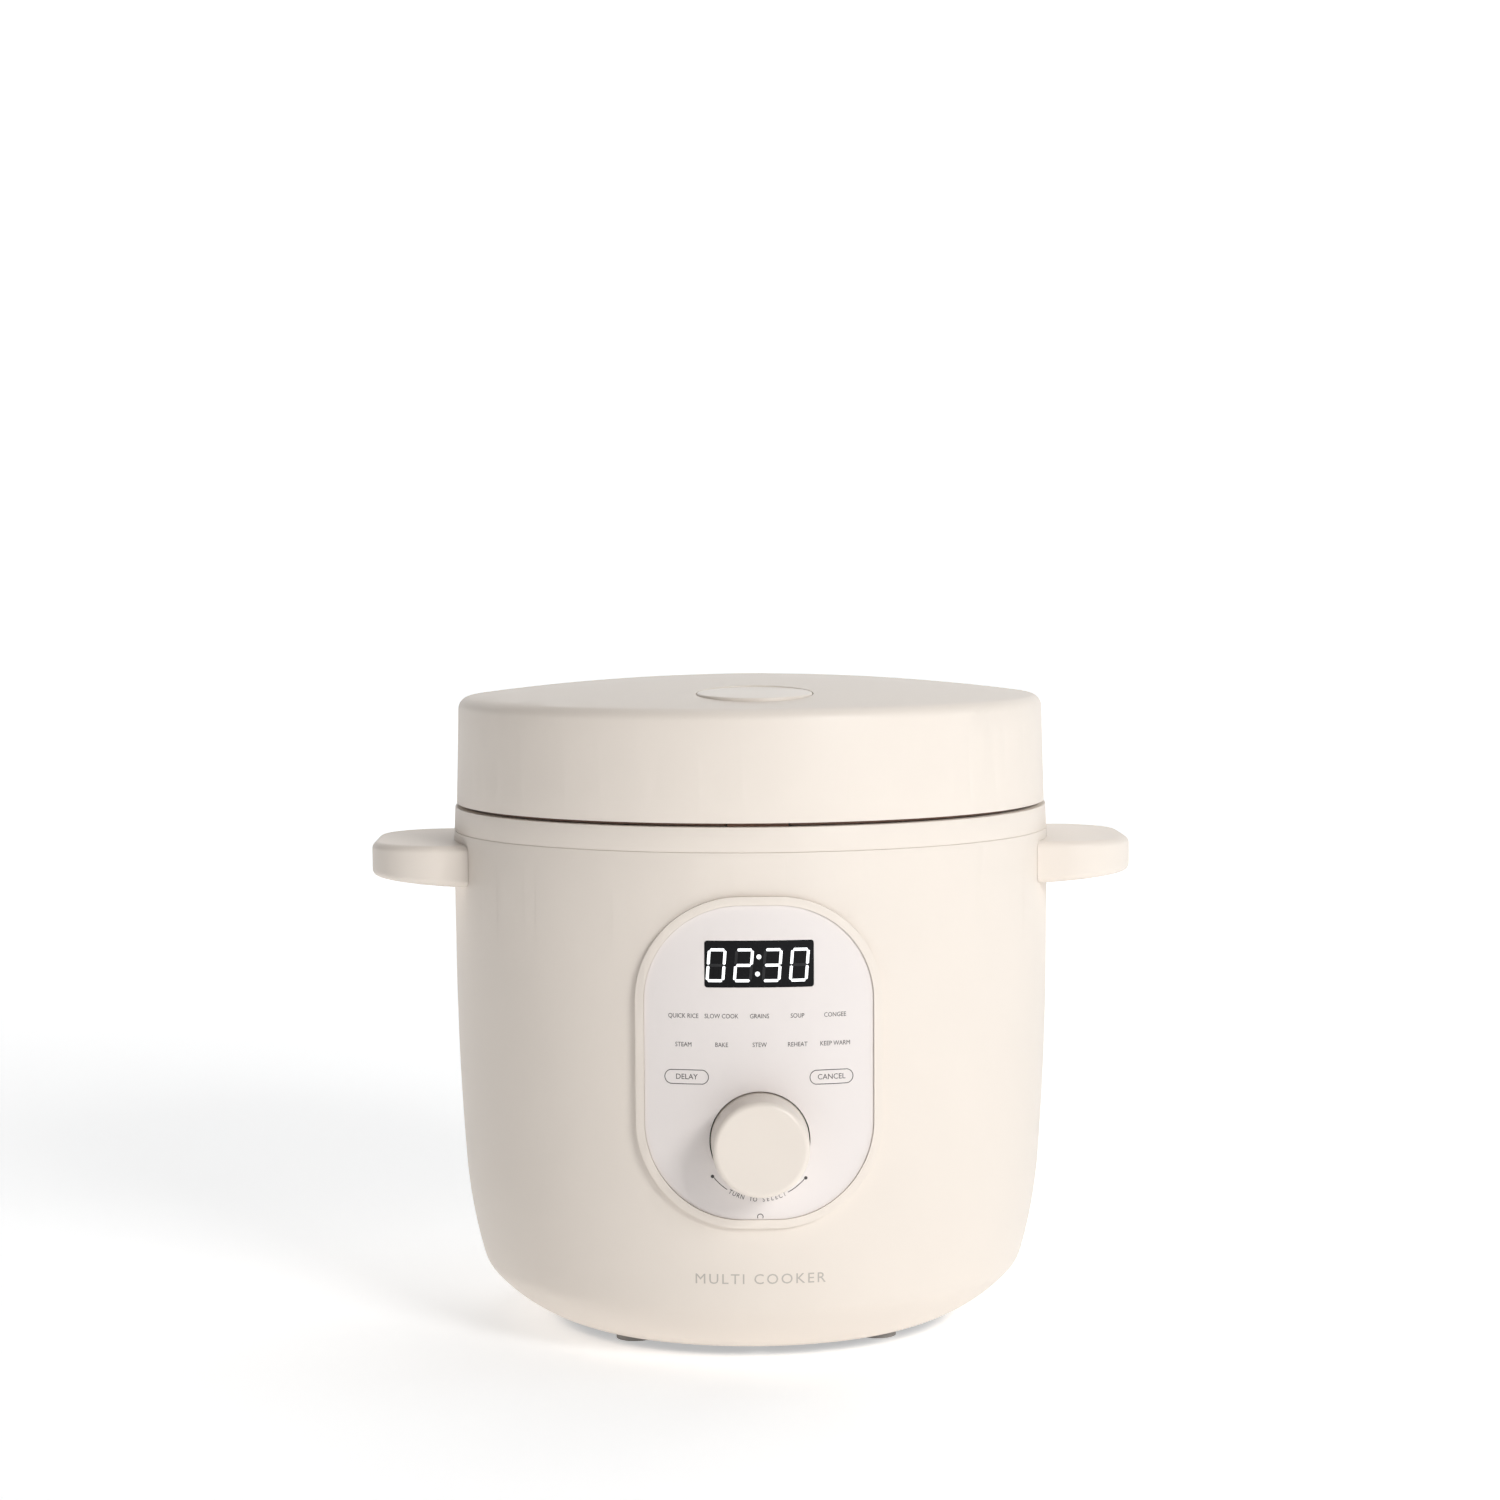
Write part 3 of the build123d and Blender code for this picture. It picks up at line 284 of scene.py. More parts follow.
def circuit_board(name):
    """Green solder mask with paler tracks and pads showing through."""
    finish = Finish(name)
    track = finish.node("ShaderNodeTexBrick", {"offset": 0.5},
                        {"Vector": finish.place, "Scale": 60.0,
                         "Color1": (0.02, 0.13, 0.055, 1), "Color2": (0.03, 0.17, 0.07, 1),
                         "Mortar": (0.06, 0.27, 0.12, 1), "Mortar Size": 0.03})
    cloud = finish.noise(260.0, 3.0)
    finish.set(Base_Color=track, Roughness=cloud * 0.15 + 0.25, Normal=finish.bump(cloud, 0.02 * MM, 0.3))
    return finish.material


LATCH_PAINTED_SHADE_TONE = 4.4            # painted shade on the latch: how many times lighter its tan is than the brown inside the lid
# painted light on the lip in the gap: how many times lighter its brown is than the brown inside the lid
LIP_PAINTED_LIGHT_TONE = 2.2


class Finishes:
    """Every finish of the cooker, made once."""

    def __init__(self):
        paint = colours()
        self.ivory = moulded("ivory_casing", tuple(paint.ivory), 0.47)
        self.ivory_satin = moulded("ivory_satin", tuple(paint.ivory), 0.36, grain_scale=2200,
                                   grain_depth=0.01 * MM)
        self.film = printed_film("front_film", tuple(paint.film))
        self.window = polished_smoke("smoke_window")
        self.glow = lit("lit_segment", tuple(paint.glow), 1.0)
        self.unlit = ink("unlit_segment", (0.03, 0.03, 0.032), gloss=0.1)
        self.print = ink("grey_print", tuple(paint.print_grey))
        self.pale_print = ink("pale_print", (0.50, 0.455, 0.41))
        self.brown = moulded("brown_inner", tuple(paint.brown), 0.45)
        # The latch's tan is painted shade: the pale latch plastic as it looks in the shaded gap under the
        # lid.
        self.latch_painted_shade = moulded("latch_painted_shade_tan", scaled(paint.brown, LATCH_PAINTED_SHADE_TONE), 0.45)
        # The paler brown of the lip in the gap is painted light: the brown inside the lid, lightened where
        # light reaches into the gap.
        self.lip = moulded("lid_lip_painted_light", scaled(paint.brown, LIP_PAINTED_LIGHT_TONE), 0.5)
        self.dark = moulded("dark_moulding", (0.035, 0.032, 0.03), 0.5, grain_depth=0.04 * MM)
        self.component = moulded("component_case", (0.025, 0.025, 0.027), 0.4, grain_depth=0.05 * MM)
        self.steel = metal("drawn_steel", (0.56, 0.55, 0.53), 0.34, stretch=(1, 1, 0.08))
        self.wire = metal("spring_wire", (0.6, 0.59, 0.57), 0.28)
        self.aluminium = metal("spun_aluminium", (0.72, 0.72, 0.72), 0.34, stretch=(1, 1, 0.05), scale=700)
        self.cast = metal("cast_aluminium", (0.62, 0.62, 0.61), 0.5, scale=420, depth=0.05 * MM)
        self.brass = metal("brass_blade", (0.72, 0.52, 0.22), 0.25)
        self.pot = coated_pot("pot_coating")
        self.rubber = rubbery("grey_rubber", (0.34, 0.315, 0.29))
        self.silicone = rubbery("white_silicone", (0.66, 0.65, 0.62), 0.5)
        self.board = circuit_board("circuit_board")


made_finishes = []


def finishes():
    if not made_finishes:
        made_finishes.append(Finishes())
    return made_finishes[0]


def give(piece, material):
    """Makes one material the only one of a piece."""
    piece.data.materials.clear()
    piece.data.materials.append(material)


# The nodes that a piece below stands for aren't listed: that piece carries the finish.
NODE_FINISH = {
    "ivory": ["handle_left", "handle_right"],
    "ivory_satin": ["dial_knob"],
    "film": ["panel_film"],
    "window": ["display_window"],
    "brown": ["lid_liner"],
    "latch_painted_shade": ["latch_slider"],
    "dark": ["encoder_rotor"],
    "component": ["display_module", "encoder_body", "transformer", "relay", "capacitors"],
    "steel": ["handle_screws", "base_screws", "hinge_screws", "lid_screws", "hinge_pin", "latch_catch",
              "plate_supports", "probe_holder", "heating_element", "dial_shaft", "lid_sensor"],
    "wire": ["hinge_spring", "touch_springs", "latch_spring"],
    "aluminium": ["inner_liner", "inner_lid_plate", "probe_cap"],
    "cast": ["heating_plate"],
    "brass": ["inlet_pins"],
    "pot": ["inner_pot"],
    "rubber": ["feet", "plate_grommet"],
    "silicone": ["lid_gasket", "vent_seal", "thermal_fuse", "control_ribbon"],
    "board": ["control_board", "power_board"],
}


# ------------------------------------------------------------------ modelling helpers
SHARP_EDGE = radians(40)     # edges that turn more than this are rounded
FLAT_ENOUGH = radians(0.4)   # faces that differ less than this are merged
MERGE_REACH = 0.001 * MM
CAPITAL_SHARE = 0.70         # height of a capital as a share of the type size


def deselect():
    if bpy.context.object and bpy.context.object.mode != "OBJECT":
        bpy.ops.object.mode_set(mode="OBJECT")
    bpy.ops.object.select_all(action="DESELECT")


def pick(piece):
    """Makes one object the only selected and active one."""
    deselect()
    piece.select_set(True)
    bpy.context.view_layer.objects.active = piece
    return piece


def added(name, operator, **settings):
    """Adds a primitive with nothing else selected and names it."""
    deselect()
    operator(**settings)
    piece = bpy.context.object
    piece.name = name
    piece.data.name = name
    return piece


def edit():
    bpy.ops.object.mode_set(mode="EDIT")
    bpy.ops.mesh.select_all(action="SELECT")


def leave_edit():
    bpy.ops.object.mode_set(mode="OBJECT")


def settle(piece):
    """Puts the place of a piece into its mesh."""
    pick(piece)
    bpy.ops.object.transform_apply(location=True, rotation=True, scale=True)
    return piece


def apply_modifier(piece, kind, **settings):
    """Adds a modifier, sets it and applies it."""
    pick(piece)
    modifier = piece.modifiers.new(kind.title(), kind)
    for key, value in settings.items():
        setattr(modifier, key, value)
    bpy.ops.object.modifier_apply(modifier=modifier.name)
    return piece


def smooth(piece, angle=35):
    pick(piece)
    bpy.ops.object.shade_smooth_by_angle(angle=radians(angle))
    return piece


def round_edges(piece, width):
    return apply_modifier(piece, "BEVEL", width=width, segments=3, limit_method="ANGLE",
                          angle_limit=SHARP_EDGE, harden_normals=False)


def merged_copy(name, node):
    """A copy of a CAD node with its loose triangles merged."""
    piece = bpy.data.objects.new(name, frame["nodes"][node].data.copy())
    bpy.context.scene.collection.objects.link(piece)
    pick(piece)
    edit()
    bpy.ops.mesh.remove_doubles(threshold=MERGE_REACH)
    leave_edit()
    return piece


def refined_copy(name, node, width):
    """A merged copy of a CAD node with its sharp edges rounded."""
    piece = merged_copy(name, node)
    edit()
    bpy.ops.mesh.dissolve_limited(angle_limit=FLAT_ENOUGH)
    leave_edit()
    round_edges(piece, width)
    return smooth(piece)


def settled_on(piece, node, lift, thickness):
    """Lays a flat print on a CAD node along Y and gives it its thickness."""
    apply_modifier(piece, "SHRINKWRAP", target=frame["nodes"][node], wrap_method="PROJECT",
                   use_project_y=True, use_negative_direction=True, use_positive_direction=True, offset=lift)
    return apply_modifier(piece, "SOLIDIFY", thickness=thickness, offset=0)


def words(name, text, height, centre, spacing=1.0, narrow=0.86, lean=0.0):
    """Flat lettering facing the front, with its capitals at a given height."""
    deselect()
    bpy.ops.object.text_add()
    piece = bpy.context.object
    piece.name = name
    piece.data.body = text
    piece.data.align_x = "CENTER"
    piece.data.align_y = "CENTER"
    piece.data.size = height / CAPITAL_SHARE
    piece.data.space_character = spacing
    piece.data.resolution_u = 3
    piece.scale = (narrow, 1, 1)
    piece.rotation_euler = (radians(90), lean, 0)
    piece.location = centre
    pick(piece)
    bpy.ops.object.convert(target="MESH")
    return settle(bpy.context.object)


def flat_ring(name, radius, width, centre, vertices=96):
    """Flat ring facing the front, with its outer edge at a radius."""
    piece = added(name, bpy.ops.mesh.primitive_circle_add, vertices=vertices, radius=radius, fill_type="NGON")
    edit()
    bpy.ops.mesh.inset(thickness=width)
    bpy.ops.mesh.delete(type="FACE")
    leave_edit()
    piece.rotation_euler = (radians(90), 0, 0)
    piece.location = centre
    return settle(piece)


def keep_where(piece, wanted):
    """Deletes the faces whose middles aren't wanted."""
    pick(piece)
    edit()
    bpy.ops.mesh.select_all(action="DESELECT")
    leave_edit()
    for face in piece.data.polygons:
        face.select = not wanted(face.center)
    bpy.ops.object.mode_set(mode="EDIT")
    bpy.ops.mesh.select_mode(type="FACE")
    bpy.ops.mesh.delete(type="FACE")
    leave_edit()
    return piece


def dot(name, radius, centre):
    """Small flat disc facing the front."""
    piece = added(name, bpy.ops.mesh.primitive_circle_add, vertices=24, radius=radius, fill_type="NGON",
                  location=centre, rotation=(radians(90), 0, 0))
    return settle(piece)


def together(name, group):
    """Joins like pieces into one object."""
    deselect()
    for piece in group:
        piece.select_set(True)
    bpy.context.view_layer.objects.active = group[0]
    bpy.ops.object.join()
    group[0].name = name
    group[0].data.name = name
    return group[0]


def shown(piece, body, material, slot, *nodes):
    """Gives a piece its finish and its body and hides the CAD nodes that it stands for; slot is not used."""
    give(piece, material)
    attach(piece, body)
    if nodes:
        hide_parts(*nodes)
    return piece


def front_of(node):
    """Middle of the front face of a node's box, in metres."""
    low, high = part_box(node)
    return Vector(((low.x + high.x) / 2, low.y, (low.z + high.z) / 2))


# ------------------------------------------------------------------ casing, lid and rim
class COOKER_OT_finishes(bpy.types.Operator):
    """Give each CAD node listed in NODE_FINISH its finish"""
    bl_idname = "cooker.finishes"
    bl_label = "CAD Finishes"

    def execute(self, context):
        for finish, nodes in NODE_FINISH.items():
            for node in nodes:
                give(frame["nodes"][node], getattr(finishes(), finish))
        return {"FINISHED"}


def soften(pieces, width):
    """Makes each named piece as a rounded copy of its CAD node, with its body and finish."""
    for name, node, body, finish, slot, share in pieces:
        piece = refined_copy(name, node, width * share)
        shown(piece, body, getattr(finishes(), finish), slot, node)


LIP_RADIUS = 105.0 * MM
LIP_WALL = 0.8 * MM
LIP_CLEARANCE = 0.35 * MM
LIP_OPENING = 11.8 * MM


class COOKER_OT_casing(bpy.types.Operator):
    """Make the body shell, the collar, the hinge block and the base with softly rounded mouldings"""
    bl_idname = "cooker.casing"
    bl_label = "Casing"

    def execute(self, context):
        soften([("body_shell", "outer_shell", "body", "ivory", "ivory_plastic", 0.7),
                ("collar", "collar_ring", "body", "ivory", "ivory_plastic", 0.7),
                ("hinge_block", "hinge_housing", "body", "ivory", "ivory_plastic", 1.6),
                ("mains_socket", "inlet_housing", "body", "dark", "dark_plastic", 0.9),
                ("underside", "base_plate", "body", "dark", "dark_plastic", 0.5)], sizes().edge_round)
        return {"FINISHED"}


class COOKER_OT_lid(bpy.types.Operator):
    """Make the lid skin, the open button and the steam vent cap with soft edges"""
    bl_idname = "cooker.lid"
    bl_label = "Lid"

    def execute(self, context):
        soften([("lid_skin", "lid_cover", "lid", "ivory", "ivory_plastic", 1.0),
                ("open_button_cap", "open_button", "open_button", "ivory_satin", "ivory_plastic", 1.0),
                ("vent_cap", "steam_vent_cap", "steam_vent_cap", "ivory", "ivory_plastic", 0.8)],
               sizes().edge_round)
        return {"FINISHED"}


class COOKER_OT_lid_lip(bpy.types.Operator):
    """Make the lip inside the gap under the lid, open where the latch passes; its paler brown is painted
    light
    """
    bl_idname = "cooker.lid_lip"
    bl_label = "Lid Lip"

    def execute(self, context):
        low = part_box("collar_ring")[1].z + LIP_CLEARANCE
        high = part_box("lid_gasket")[1].z
        lip = added("lid_lip", bpy.ops.mesh.primitive_circle_add, vertices=240, radius=LIP_RADIUS,
                    location=(0, 0, low))
        edit()
        bpy.ops.mesh.extrude_region_move(TRANSFORM_OT_translate={"value": (0, 0, high - low)})
        leave_edit()
        settle(lip)
        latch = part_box("latch_slider")
        keep_where(lip, lambda c: c.y > latch[1].y or abs(c.x) > LIP_OPENING)
        apply_modifier(lip, "SOLIDIFY", thickness=LIP_WALL, offset=-1)
        edit()
        bpy.ops.mesh.normals_make_consistent(inside=False)
        leave_edit()
        shown(smooth(lip), "lid", finishes().lip, "brown_plastic")
        return {"FINISHED"}


class COOKER_OT_front(bpy.types.Operator):
    """Make the softly rounded rim of the control panel"""
    bl_idname = "cooker.front"
    bl_label = "Panel Rim"

    def execute(self, context):
        soften([("panel_rim", "panel_bezel", "body", "ivory_satin", "ivory_plastic", 1.8)],
               sizes().edge_round)
        return {"FINISHED"}


SPRINGS = [("button_spring", "lid", "button_press"), ("probe_spring", "body", "probe_press")]


class COOKER_OT_springs(bpy.types.Operator):
    """Make the coil springs as smoothed copies of their CAD nodes"""
    bl_idname = "cooker.springs"
    bl_label = "Springs"

    def execute(self, context):
        travel = {joint["name"]: joint.get("range_m") for joint in frame["record"]["behaviour"]["joints"]}
        for node, body, joint in SPRINGS:
            low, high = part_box(node)
            coil = merged_copy(f"{node}_coil", node)
            shown(smooth(coil), body, finishes().wire, "steel", node)
            1 - travel[joint][1] / (high.z - low.z)
            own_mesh(coil)
        return {"FINISHED"}


# ------------------------------------------------------------------ display
SEGMENTS = {"0": "abcdef", "1": "bc", "2": "abged", "3": "abgcd", "4": "fgbc", "5": "afgcd",
            "6": "afgedc", "7": "abc", "8": "abcdefg", "9": "abcdfg"}
CLOCK = [("0", -14.7), ("2", -5.35), ("3", 4.45), ("0", 13.75)]
CLOCK_DROP = 0.4 * MM        # the digits sit a little below the middle of their window
COLON = [(-0.1, 147.0), (-0.6, 141.1)]
COLON_RADIUS = 0.82 * MM
BAR_POINT = 0.62             # how far the pointed end of a bar reaches, as a share of its width


def segment(name, start, end, thickness, lean, origin):
    """One bar of a digit: a bar with pointed ends, leaning with the digit."""
    start, end = Vector((*start, 0)), Vector((*end, 0))
    along = end - start
    piece = added(name, bpy.ops.mesh.primitive_plane_add, size=1)
    edit()
    bpy.ops.transform.resize(value=(along.length - thickness, thickness, 1))
    bpy.ops.mesh.subdivide(number_cuts=1)
    leave_edit()
    for vertex in piece.data.vertices:
        if abs(vertex.co.y) < thickness * 0.1:
            vertex.co.x *= 1 + thickness / (along.length - thickness) * BAR_POINT
    angle = atan2(along.y, along.x)
    middle = (start + end) / 2
    turn = Matrix.Rotation(angle, 4, "Z")
    shear = Matrix(((1, lean, 0, 0), (0, 1, 0, 0), (0, 0, 1, 0), (0, 0, 0, 1)))
    stand = Matrix.Rotation(radians(90), 4, "X")
    piece.data.transform(Matrix.Translation(origin) @ stand @ shear @ Matrix.Translation(middle) @ turn)
    return piece


def digit(name, lit_segments, origin):
    """The lit and the unlit bars of one digit."""
    size = sizes()
    half_w = (size.digit_width - size.bar_width) / 2
    half_h = (size.digit_height - size.bar_width) / 2
    bars = {"a": ((-half_w, half_h), (half_w, half_h)), "b": ((half_w, half_h), (half_w, 0)),
            "c": ((half_w, 0), (half_w, -half_h)), "d": ((-half_w, -half_h), (half_w, -half_h)),
            "e": ((-half_w, 0), (-half_w, -half_h)), "f": ((-half_w, half_h), (-half_w, 0)),
            "g": ((-half_w, 0), (half_w, 0))}
    lean = tan(size.digit_slant)
    lit_bars = []
    dark_bars = []
    for key, (start, end) in bars.items():
        bar = segment(f"{name}_{key}", start, end, size.bar_width, lean, origin)
        (lit_bars if key in lit_segments else dark_bars).append(bar)
    return lit_bars, dark_bars


class COOKER_OT_display(bpy.types.Operator):
    """Make the clock digits behind the smoked window"""
    bl_idname = "cooker.display"
    bl_label = "Clock Display"

    def execute(self, context):
        window = front_of("display_window")
        lit_bars = []
        dark_bars = []
        for index, (number, x) in enumerate(CLOCK):
            middle = Vector((x * MM, window.y, window.z - CLOCK_DROP))
            on, off = digit(f"digit_{index}", SEGMENTS[number], middle)
            lit_bars += on
            dark_bars += off
        for index, (x, z) in enumerate(COLON):
            lit_bars.append(dot(f"colon_{index}", COLON_RADIUS, Vector((x * MM, window.y, z * MM))))
        glowing = settled_on(together("lit_digits", lit_bars), "display_window", 0.06 * MM, 0.08 * MM)
        shown(glowing, "body", finishes().glow, "film_white")
        resting = settled_on(together("unlit_digits", dark_bars), "display_window", 0.05 * MM, 0.05 * MM)
        shown(resting, "body", finishes().unlit, "smoke_window")
        return {"FINISHED"}


# ------------------------------------------------------------------ printing
LABEL_ROWS = [(126.5, ["QUICK RICE", "SLOW COOK", "GRAINS", "SOUP", "CONGEE"]),
              (116.6, ["STEAM", "BAKE", "STEW", "REHEAT", "KEEP WARM"])]
LABEL_COLUMNS = [-26.0, -13.0, 0.0, 13.0, 26.0]
ARC_ENDS = (radians(-143), radians(-40))
ARC_GAP = (radians(-124), radians(-62))       # where the word stands on the line round the dial
WORD_ENDS = (radians(-120), radians(-66))
LINE_WIDTH = 0.27 * MM
PILLS = [("DELAY", -25.0, 105.4), ("CANCEL", 24.7, 105.0)]
DOT_RADIUS = 0.6 * MM
NOTCH_RADIUS = 1.1 * MM
NOTCH_RISE = 1.0 * MM
INK_THICKNESS = 0.03 * MM
FRONT_WORD_HEIGHT = 3.7 * MM
FRONT_WORD_PLACE = Vector((0, -112 * MM, 33.6 * MM))


def pill(name, centre):
    """Outline of a key: a ring pulled apart into a long key shape."""
    size = sizes()
    radius = size.pill_height / 2
    piece = flat_ring(name, radius, LINE_WIDTH, centre, vertices=32)
    reach = size.pill_width / 2 - radius
    for side in (-1, 1):
        pick(piece)
        bpy.ops.object.mode_set(mode="EDIT")
        bpy.ops.mesh.select_all(action="DESELECT")
        leave_edit()
        for vertex in piece.data.vertices:
            vertex.select = side * (vertex.co.x - centre.x) > 0.01 * MM
        bpy.ops.object.mode_set(mode="EDIT")
        bpy.ops.transform.translate(value=(side * reach, 0, 0))
        leave_edit()
    for edge in piece.data.edges:
        first, second = (piece.data.vertices[index].co for index in edge.vertices)
        edge.select = (first - second).length > reach * 0.7
    bpy.ops.object.mode_set(mode="EDIT")
    bpy.ops.mesh.select_mode(type="EDGE")
    bpy.ops.mesh.subdivide(number_cuts=10)
    leave_edit()
    return piece


def curved_words(name, text, height, dial, radius, first, last, depth):
    """Lettering along an arc round the dial, read from below."""
    letters = []
    for index, letter in enumerate(text):
        if letter == " ":
            continue
        angle = first + (last - first) * index / (len(text) - 1)
        place = Vector((radius * cos(angle), depth, dial.z + radius * sin(angle)))
        letters.append(words(f"{name}_{index}", letter, height, place, lean=-(angle + pi / 2)))
    return letters


class COOKER_OT_printing(bpy.types.Operator):
    """Print the touch keys and the marks round the dial on the film"""
    bl_idname = "cooker.printing"
    bl_label = "Printing"

    def execute(self, context):
        size = sizes()
        depth = front_of("panel_film").y
        prints = []
        for z, row in LABEL_ROWS:
            for x, text in zip(LABEL_COLUMNS, row):
                place = Vector((x * MM, depth, z * MM))
                prints.append(words(f"label_{text}".replace(" ", "_"), text, size.label_height, place))
        for text, x, z in PILLS:
            place = Vector((x * MM, depth, z * MM))
            prints.append(words(f"key_{text}", text, size.label_height * 1.2, place, narrow=0.95))
            prints.append(pill(f"outline_{text}", place))
        dial = front_of("dial_knob")
        centre = Vector((0, depth, dial.z))
        low, high = ARC_ENDS
        arc_line = flat_ring("dial_arc", size.arc_radius, LINE_WIDTH, centre, vertices=180)

        def on_line(place):
            angle = atan2(place.z - dial.z, place.x)
            return low < angle < high and not ARC_GAP[0] < angle < ARC_GAP[1]

        prints.append(keep_where(arc_line, on_line))
        for index, angle in enumerate((low, high)):
            spot = centre + size.arc_radius * Vector((cos(angle), 0, sin(angle)))
            prints.append(dot(f"dial_dot_{index}", DOT_RADIUS, spot))
        prints += curved_words("dial_word", "TURN TO SELECT", size.label_height, dial, size.arc_radius,
                               *WORD_ENDS, depth)
        low_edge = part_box("panel_film")[0].z
        notch_centre = Vector((0, depth, low_edge + NOTCH_RISE))
        notch = flat_ring("film_mark", NOTCH_RADIUS, LINE_WIDTH, notch_centre, vertices=32)
        prints.append(keep_where(notch, lambda c: c.z > low_edge + NOTCH_RISE / 2))
        for piece in prints:
            settled_on(piece, "panel_film", INK_THICKNESS, INK_THICKNESS)
        shown(together("printed_marks", prints), "body", finishes().print, "film_white")
        front_word = words("front_word", "MULTI COOKER", FRONT_WORD_HEIGHT, FRONT_WORD_PLACE, 1.25, 1.0)
        settled_on(front_word, "outer_shell", INK_THICKNESS, INK_THICKNESS)
        shown(front_word, "body", finishes().pale_print, "ivory_plastic")
        return {"FINISHED"}


# ------------------------------------------------------------------ stage
# Glow of the floor round the cooker, dimmed there as a painted shadow; further out the glow rises to the wall
# glow.
PAINTED_SHADOW_GLOW = (0.43, 0.43, 0.43)
WALL_GLOW = (0.72, 0.72, 0.72)
ROOM_BANDS = [(0.18, 0.76), (0.3, 0.04)]      # sine of the elevation, and brightness
LIGHTS = [("key_light", (1.02, -1.64, 1.0), 0.6, 22.5, (1, 1, 1)),
          ("side_light", (1.8, 0.1, 0.8), 0.8, 2.6, (0.72, 0.88, 1.0)),
          ("top_light", (0.2, 0.5, 1.9), 1.4, 12.0, (1, 1, 1))]
LIGHT_TARGET = Vector((0, 0, 0.12))
SWEEP_SIZE = 14
SWEEP_FORWARD = 1            # how far the middle of the floor lies in front of the cooker
WALL_HEIGHT = 6
WALL_BEND = 2.5
CAMERA_ASIDE = radians(1.4)
CAMERA_DIP = radians(3.684)
CAMERA_ROLL = radians(-0.332)
LENS = 80.64
SENSOR_WIDTH = 36


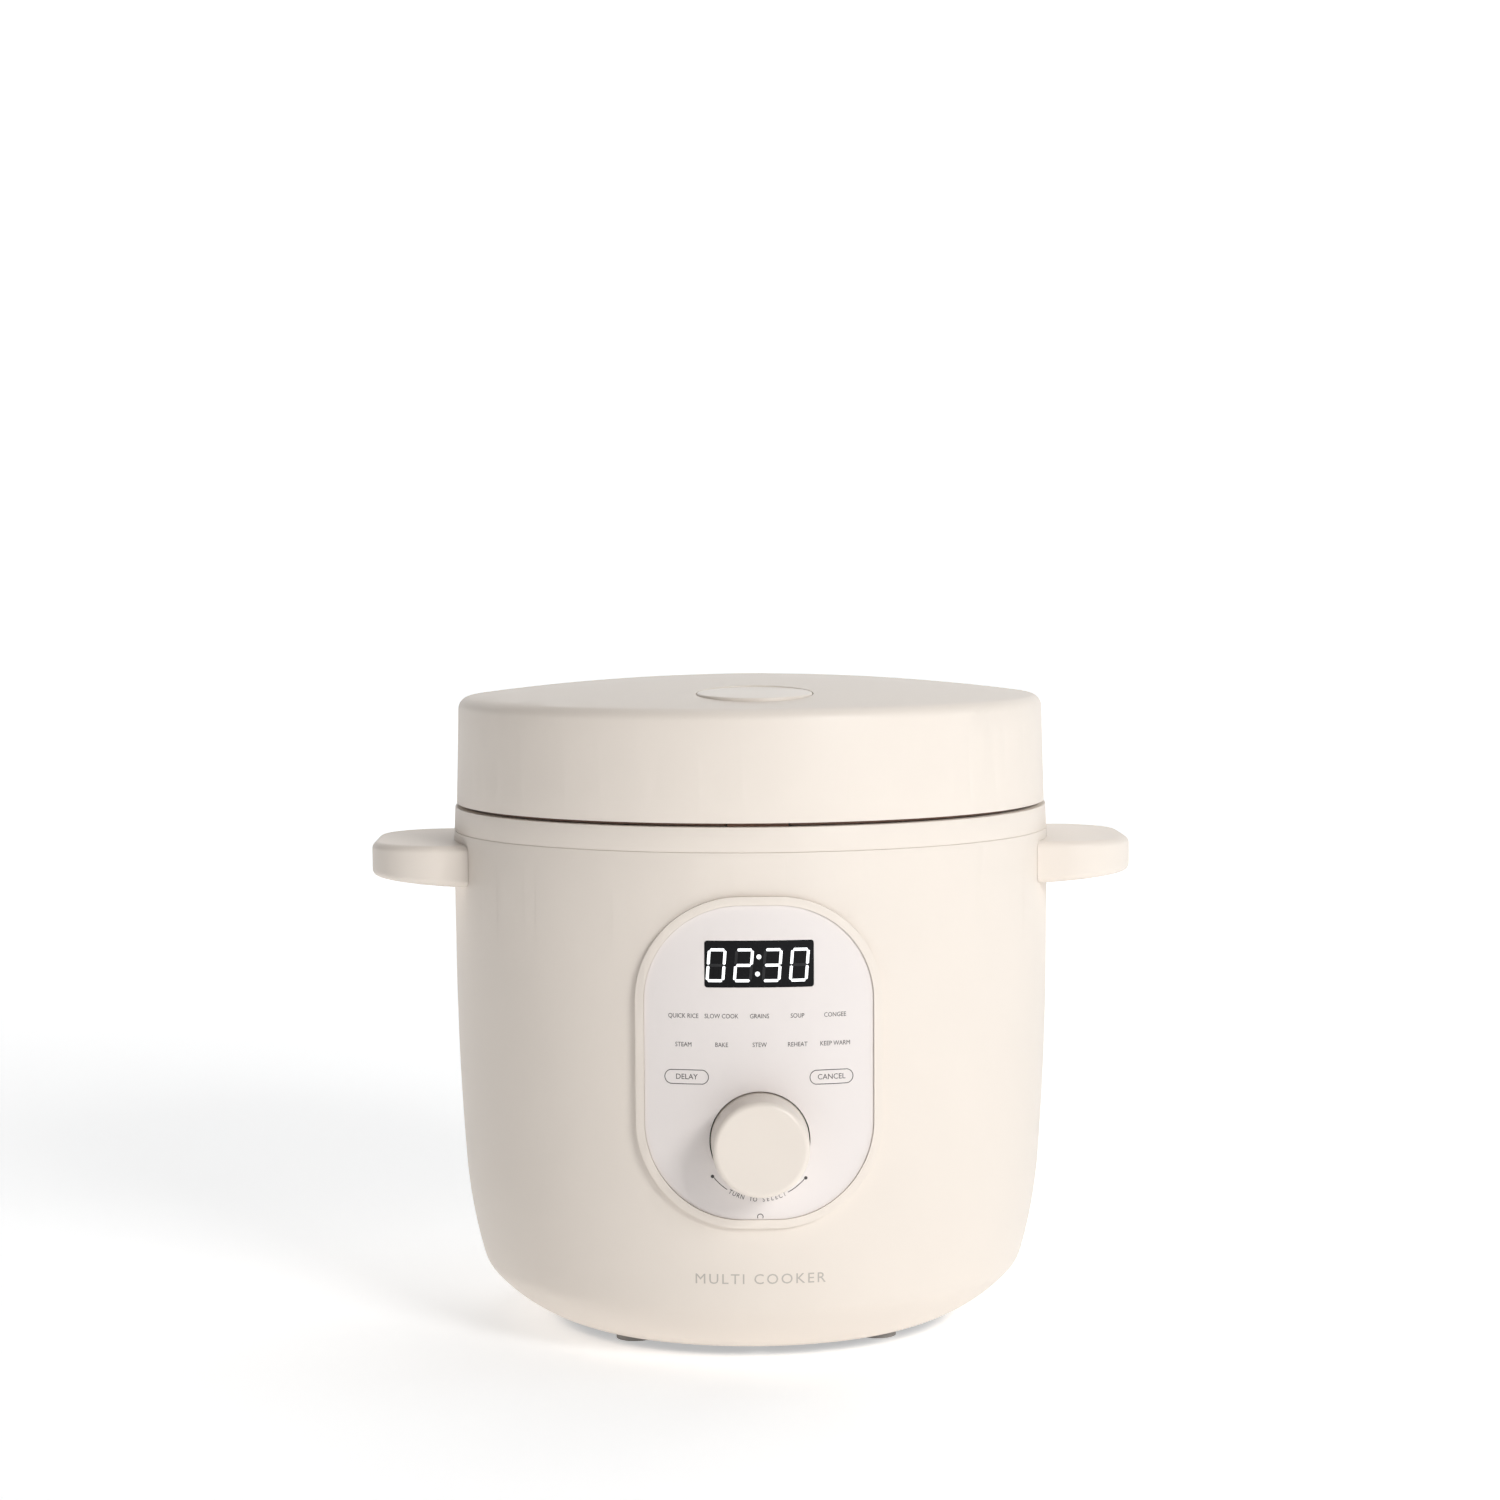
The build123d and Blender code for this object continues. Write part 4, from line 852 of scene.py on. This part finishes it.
class COOKER_OT_stage(bpy.types.Operator):
    """Set the pale floor, the soft lights and the camera"""
    bl_idname = "cooker.stage"
    bl_label = "Stage"

    def execute(self, context):
        self.sweep()
        for name, place, size, power, colour in LIGHTS:
            self.light(name, place, size, power, colour)
        context.scene.world = self.room()
        context.scene.view_settings.view_transform = "Standard"
        self.camera(context)
        return {"FINISHED"}

    def room(self):
        """A dim room with a bright band low round it."""
        world = bpy.data.worlds.new("studio")
        world.use_nodes = True
        tree = world.node_tree
        place = tree.nodes.new("ShaderNodeTexCoord")
        apart = tree.nodes.new("ShaderNodeSeparateXYZ")
        ramp = tree.nodes.new("ShaderNodeValToRGB")
        for element, (height, glow) in zip(ramp.color_ramp.elements, ROOM_BANDS):
            element.position = height
            element.color = (glow, glow, glow, 1)
        tree.links.new(place.outputs["Generated"], apart.inputs[0])
        tree.links.new(apart.outputs["Z"], ramp.inputs["Fac"])
        tree.links.new(ramp.outputs["Color"], tree.nodes["Background"].inputs["Color"])
        return world

    def sweep(self):
        """White floor that curves up into a white wall behind the cooker, its glow dimmed round the cooker as
        a painted shadow.
        """
        floor = added("floor", bpy.ops.mesh.primitive_plane_add, size=SWEEP_SIZE,
                      location=(0, -SWEEP_FORWARD, 0))
        edit()
        bpy.ops.mesh.select_all(action="DESELECT")
        leave_edit()
        for edge in floor.data.edges:
            edge.select = all(floor.data.vertices[index].co.y > 0 for index in edge.vertices)
        bpy.ops.object.mode_set(mode="EDIT")
        bpy.ops.mesh.select_mode(type="EDGE")
        bpy.ops.mesh.extrude_region_move(TRANSFORM_OT_translate={"value": (0, 0, WALL_HEIGHT)})
        leave_edit()
        apply_modifier(floor, "BEVEL", width=WALL_BEND, segments=24, limit_method="ANGLE",
                       angle_limit=radians(60))
        smooth(settle(floor), 60)
        finish = Finish("white_sweep")
        cloud = finish.noise(3.0, 2.0)
        across = finish.node("ShaderNodeSeparateXYZ", {}, {"Vector": finish.place}, output=0)
        depth = finish.node("ShaderNodeSeparateXYZ", {}, {"Vector": finish.place}, output=1)
        # Painted shadow: the glow is dimmest round the cooker and grows with the distance from it.
        painted_shadow_fade = (across * across + depth * depth) * 0.4 - 0.05
        finish.set(Base_Color=finish.blend_colours(cloud, (0.84, 0.84, 0.84), (0.86, 0.86, 0.86)),
                   Roughness=0.7, Emission_Color=finish.blend_colours(painted_shadow_fade, PAINTED_SHADOW_GLOW, WALL_GLOW),
                   Emission_Strength=1.0)
        give(floor, finish.material)

    def light(self, name, place, size, power, colour):
        deselect()
        bpy.ops.object.light_add(type="AREA", location=place)
        lamp = bpy.context.object
        lamp.name = name
        lamp.data.size = size
        lamp.data.energy = power
        lamp.data.color = colour
        lamp.rotation_euler = (LIGHT_TARGET - Vector(place)).to_track_quat("-Z", "Y").to_euler()

    def camera(self, context):
        size = sizes()
        place = Vector((-sin(CAMERA_ASIDE), -cos(CAMERA_ASIDE), 0)) * size.camera_distance
        place.z = size.camera_height
        deselect()
        bpy.ops.object.camera_add(location=place)
        camera = bpy.context.object
        camera.data.lens = LENS
        camera.data.sensor_width = SENSOR_WIDTH
        facing = Matrix.Rotation(-CAMERA_ASIDE, 4, "Z") @ Matrix.Rotation(pi / 2 - CAMERA_DIP, 4, "X")
        camera.rotation_euler = (facing @ Matrix.Rotation(CAMERA_ROLL, 4, "Z")).to_euler()
        context.scene.camera = camera


class COOKER_PT_panel(bpy.types.Panel):
    """Lists the pieces of the cooker"""
    bl_idname = "COOKER_PT_panel"
    bl_label = "Cooker"
    bl_space_type = "VIEW_3D"
    bl_region_type = "UI"
    bl_category = "Cooker"

    def draw(self, context):
        for group in (context.scene.cooker_sizes, context.scene.cooker_colours):
            for name in group.__annotations__:
                self.layout.prop(group, name)
        for operator in PIECE_OPERATORS:
            self.layout.operator(operator.bl_idname)


PIECE_OPERATORS = [COOKER_OT_finishes, COOKER_OT_casing, COOKER_OT_lid, COOKER_OT_lid_lip, COOKER_OT_front,
                   COOKER_OT_springs, COOKER_OT_display, COOKER_OT_printing, COOKER_OT_stage]
CLASSES = [CookerSizes, CookerColours, *PIECE_OPERATORS, COOKER_PT_panel]


def register():
    for kind in CLASSES:
        bpy.utils.register_class(kind)
    bpy.types.Scene.cooker_sizes = bpy.props.PointerProperty(type=CookerSizes)
    bpy.types.Scene.cooker_colours = bpy.props.PointerProperty(type=CookerColours)


def unregister():
    del bpy.types.Scene.cooker_colours
    del bpy.types.Scene.cooker_sizes
    for kind in reversed(CLASSES):
        bpy.utils.unregister_class(kind)


def main():
    register()
    bpy.ops.cooker.finishes()
    bpy.ops.cooker.casing()
    bpy.ops.cooker.lid()
    bpy.ops.cooker.lid_lip()
    bpy.ops.cooker.front()
    bpy.ops.cooker.springs()
    bpy.ops.cooker.display()
    bpy.ops.cooker.printing()
    bpy.ops.cooker.stage()


if __name__ == "__main__":
    main()
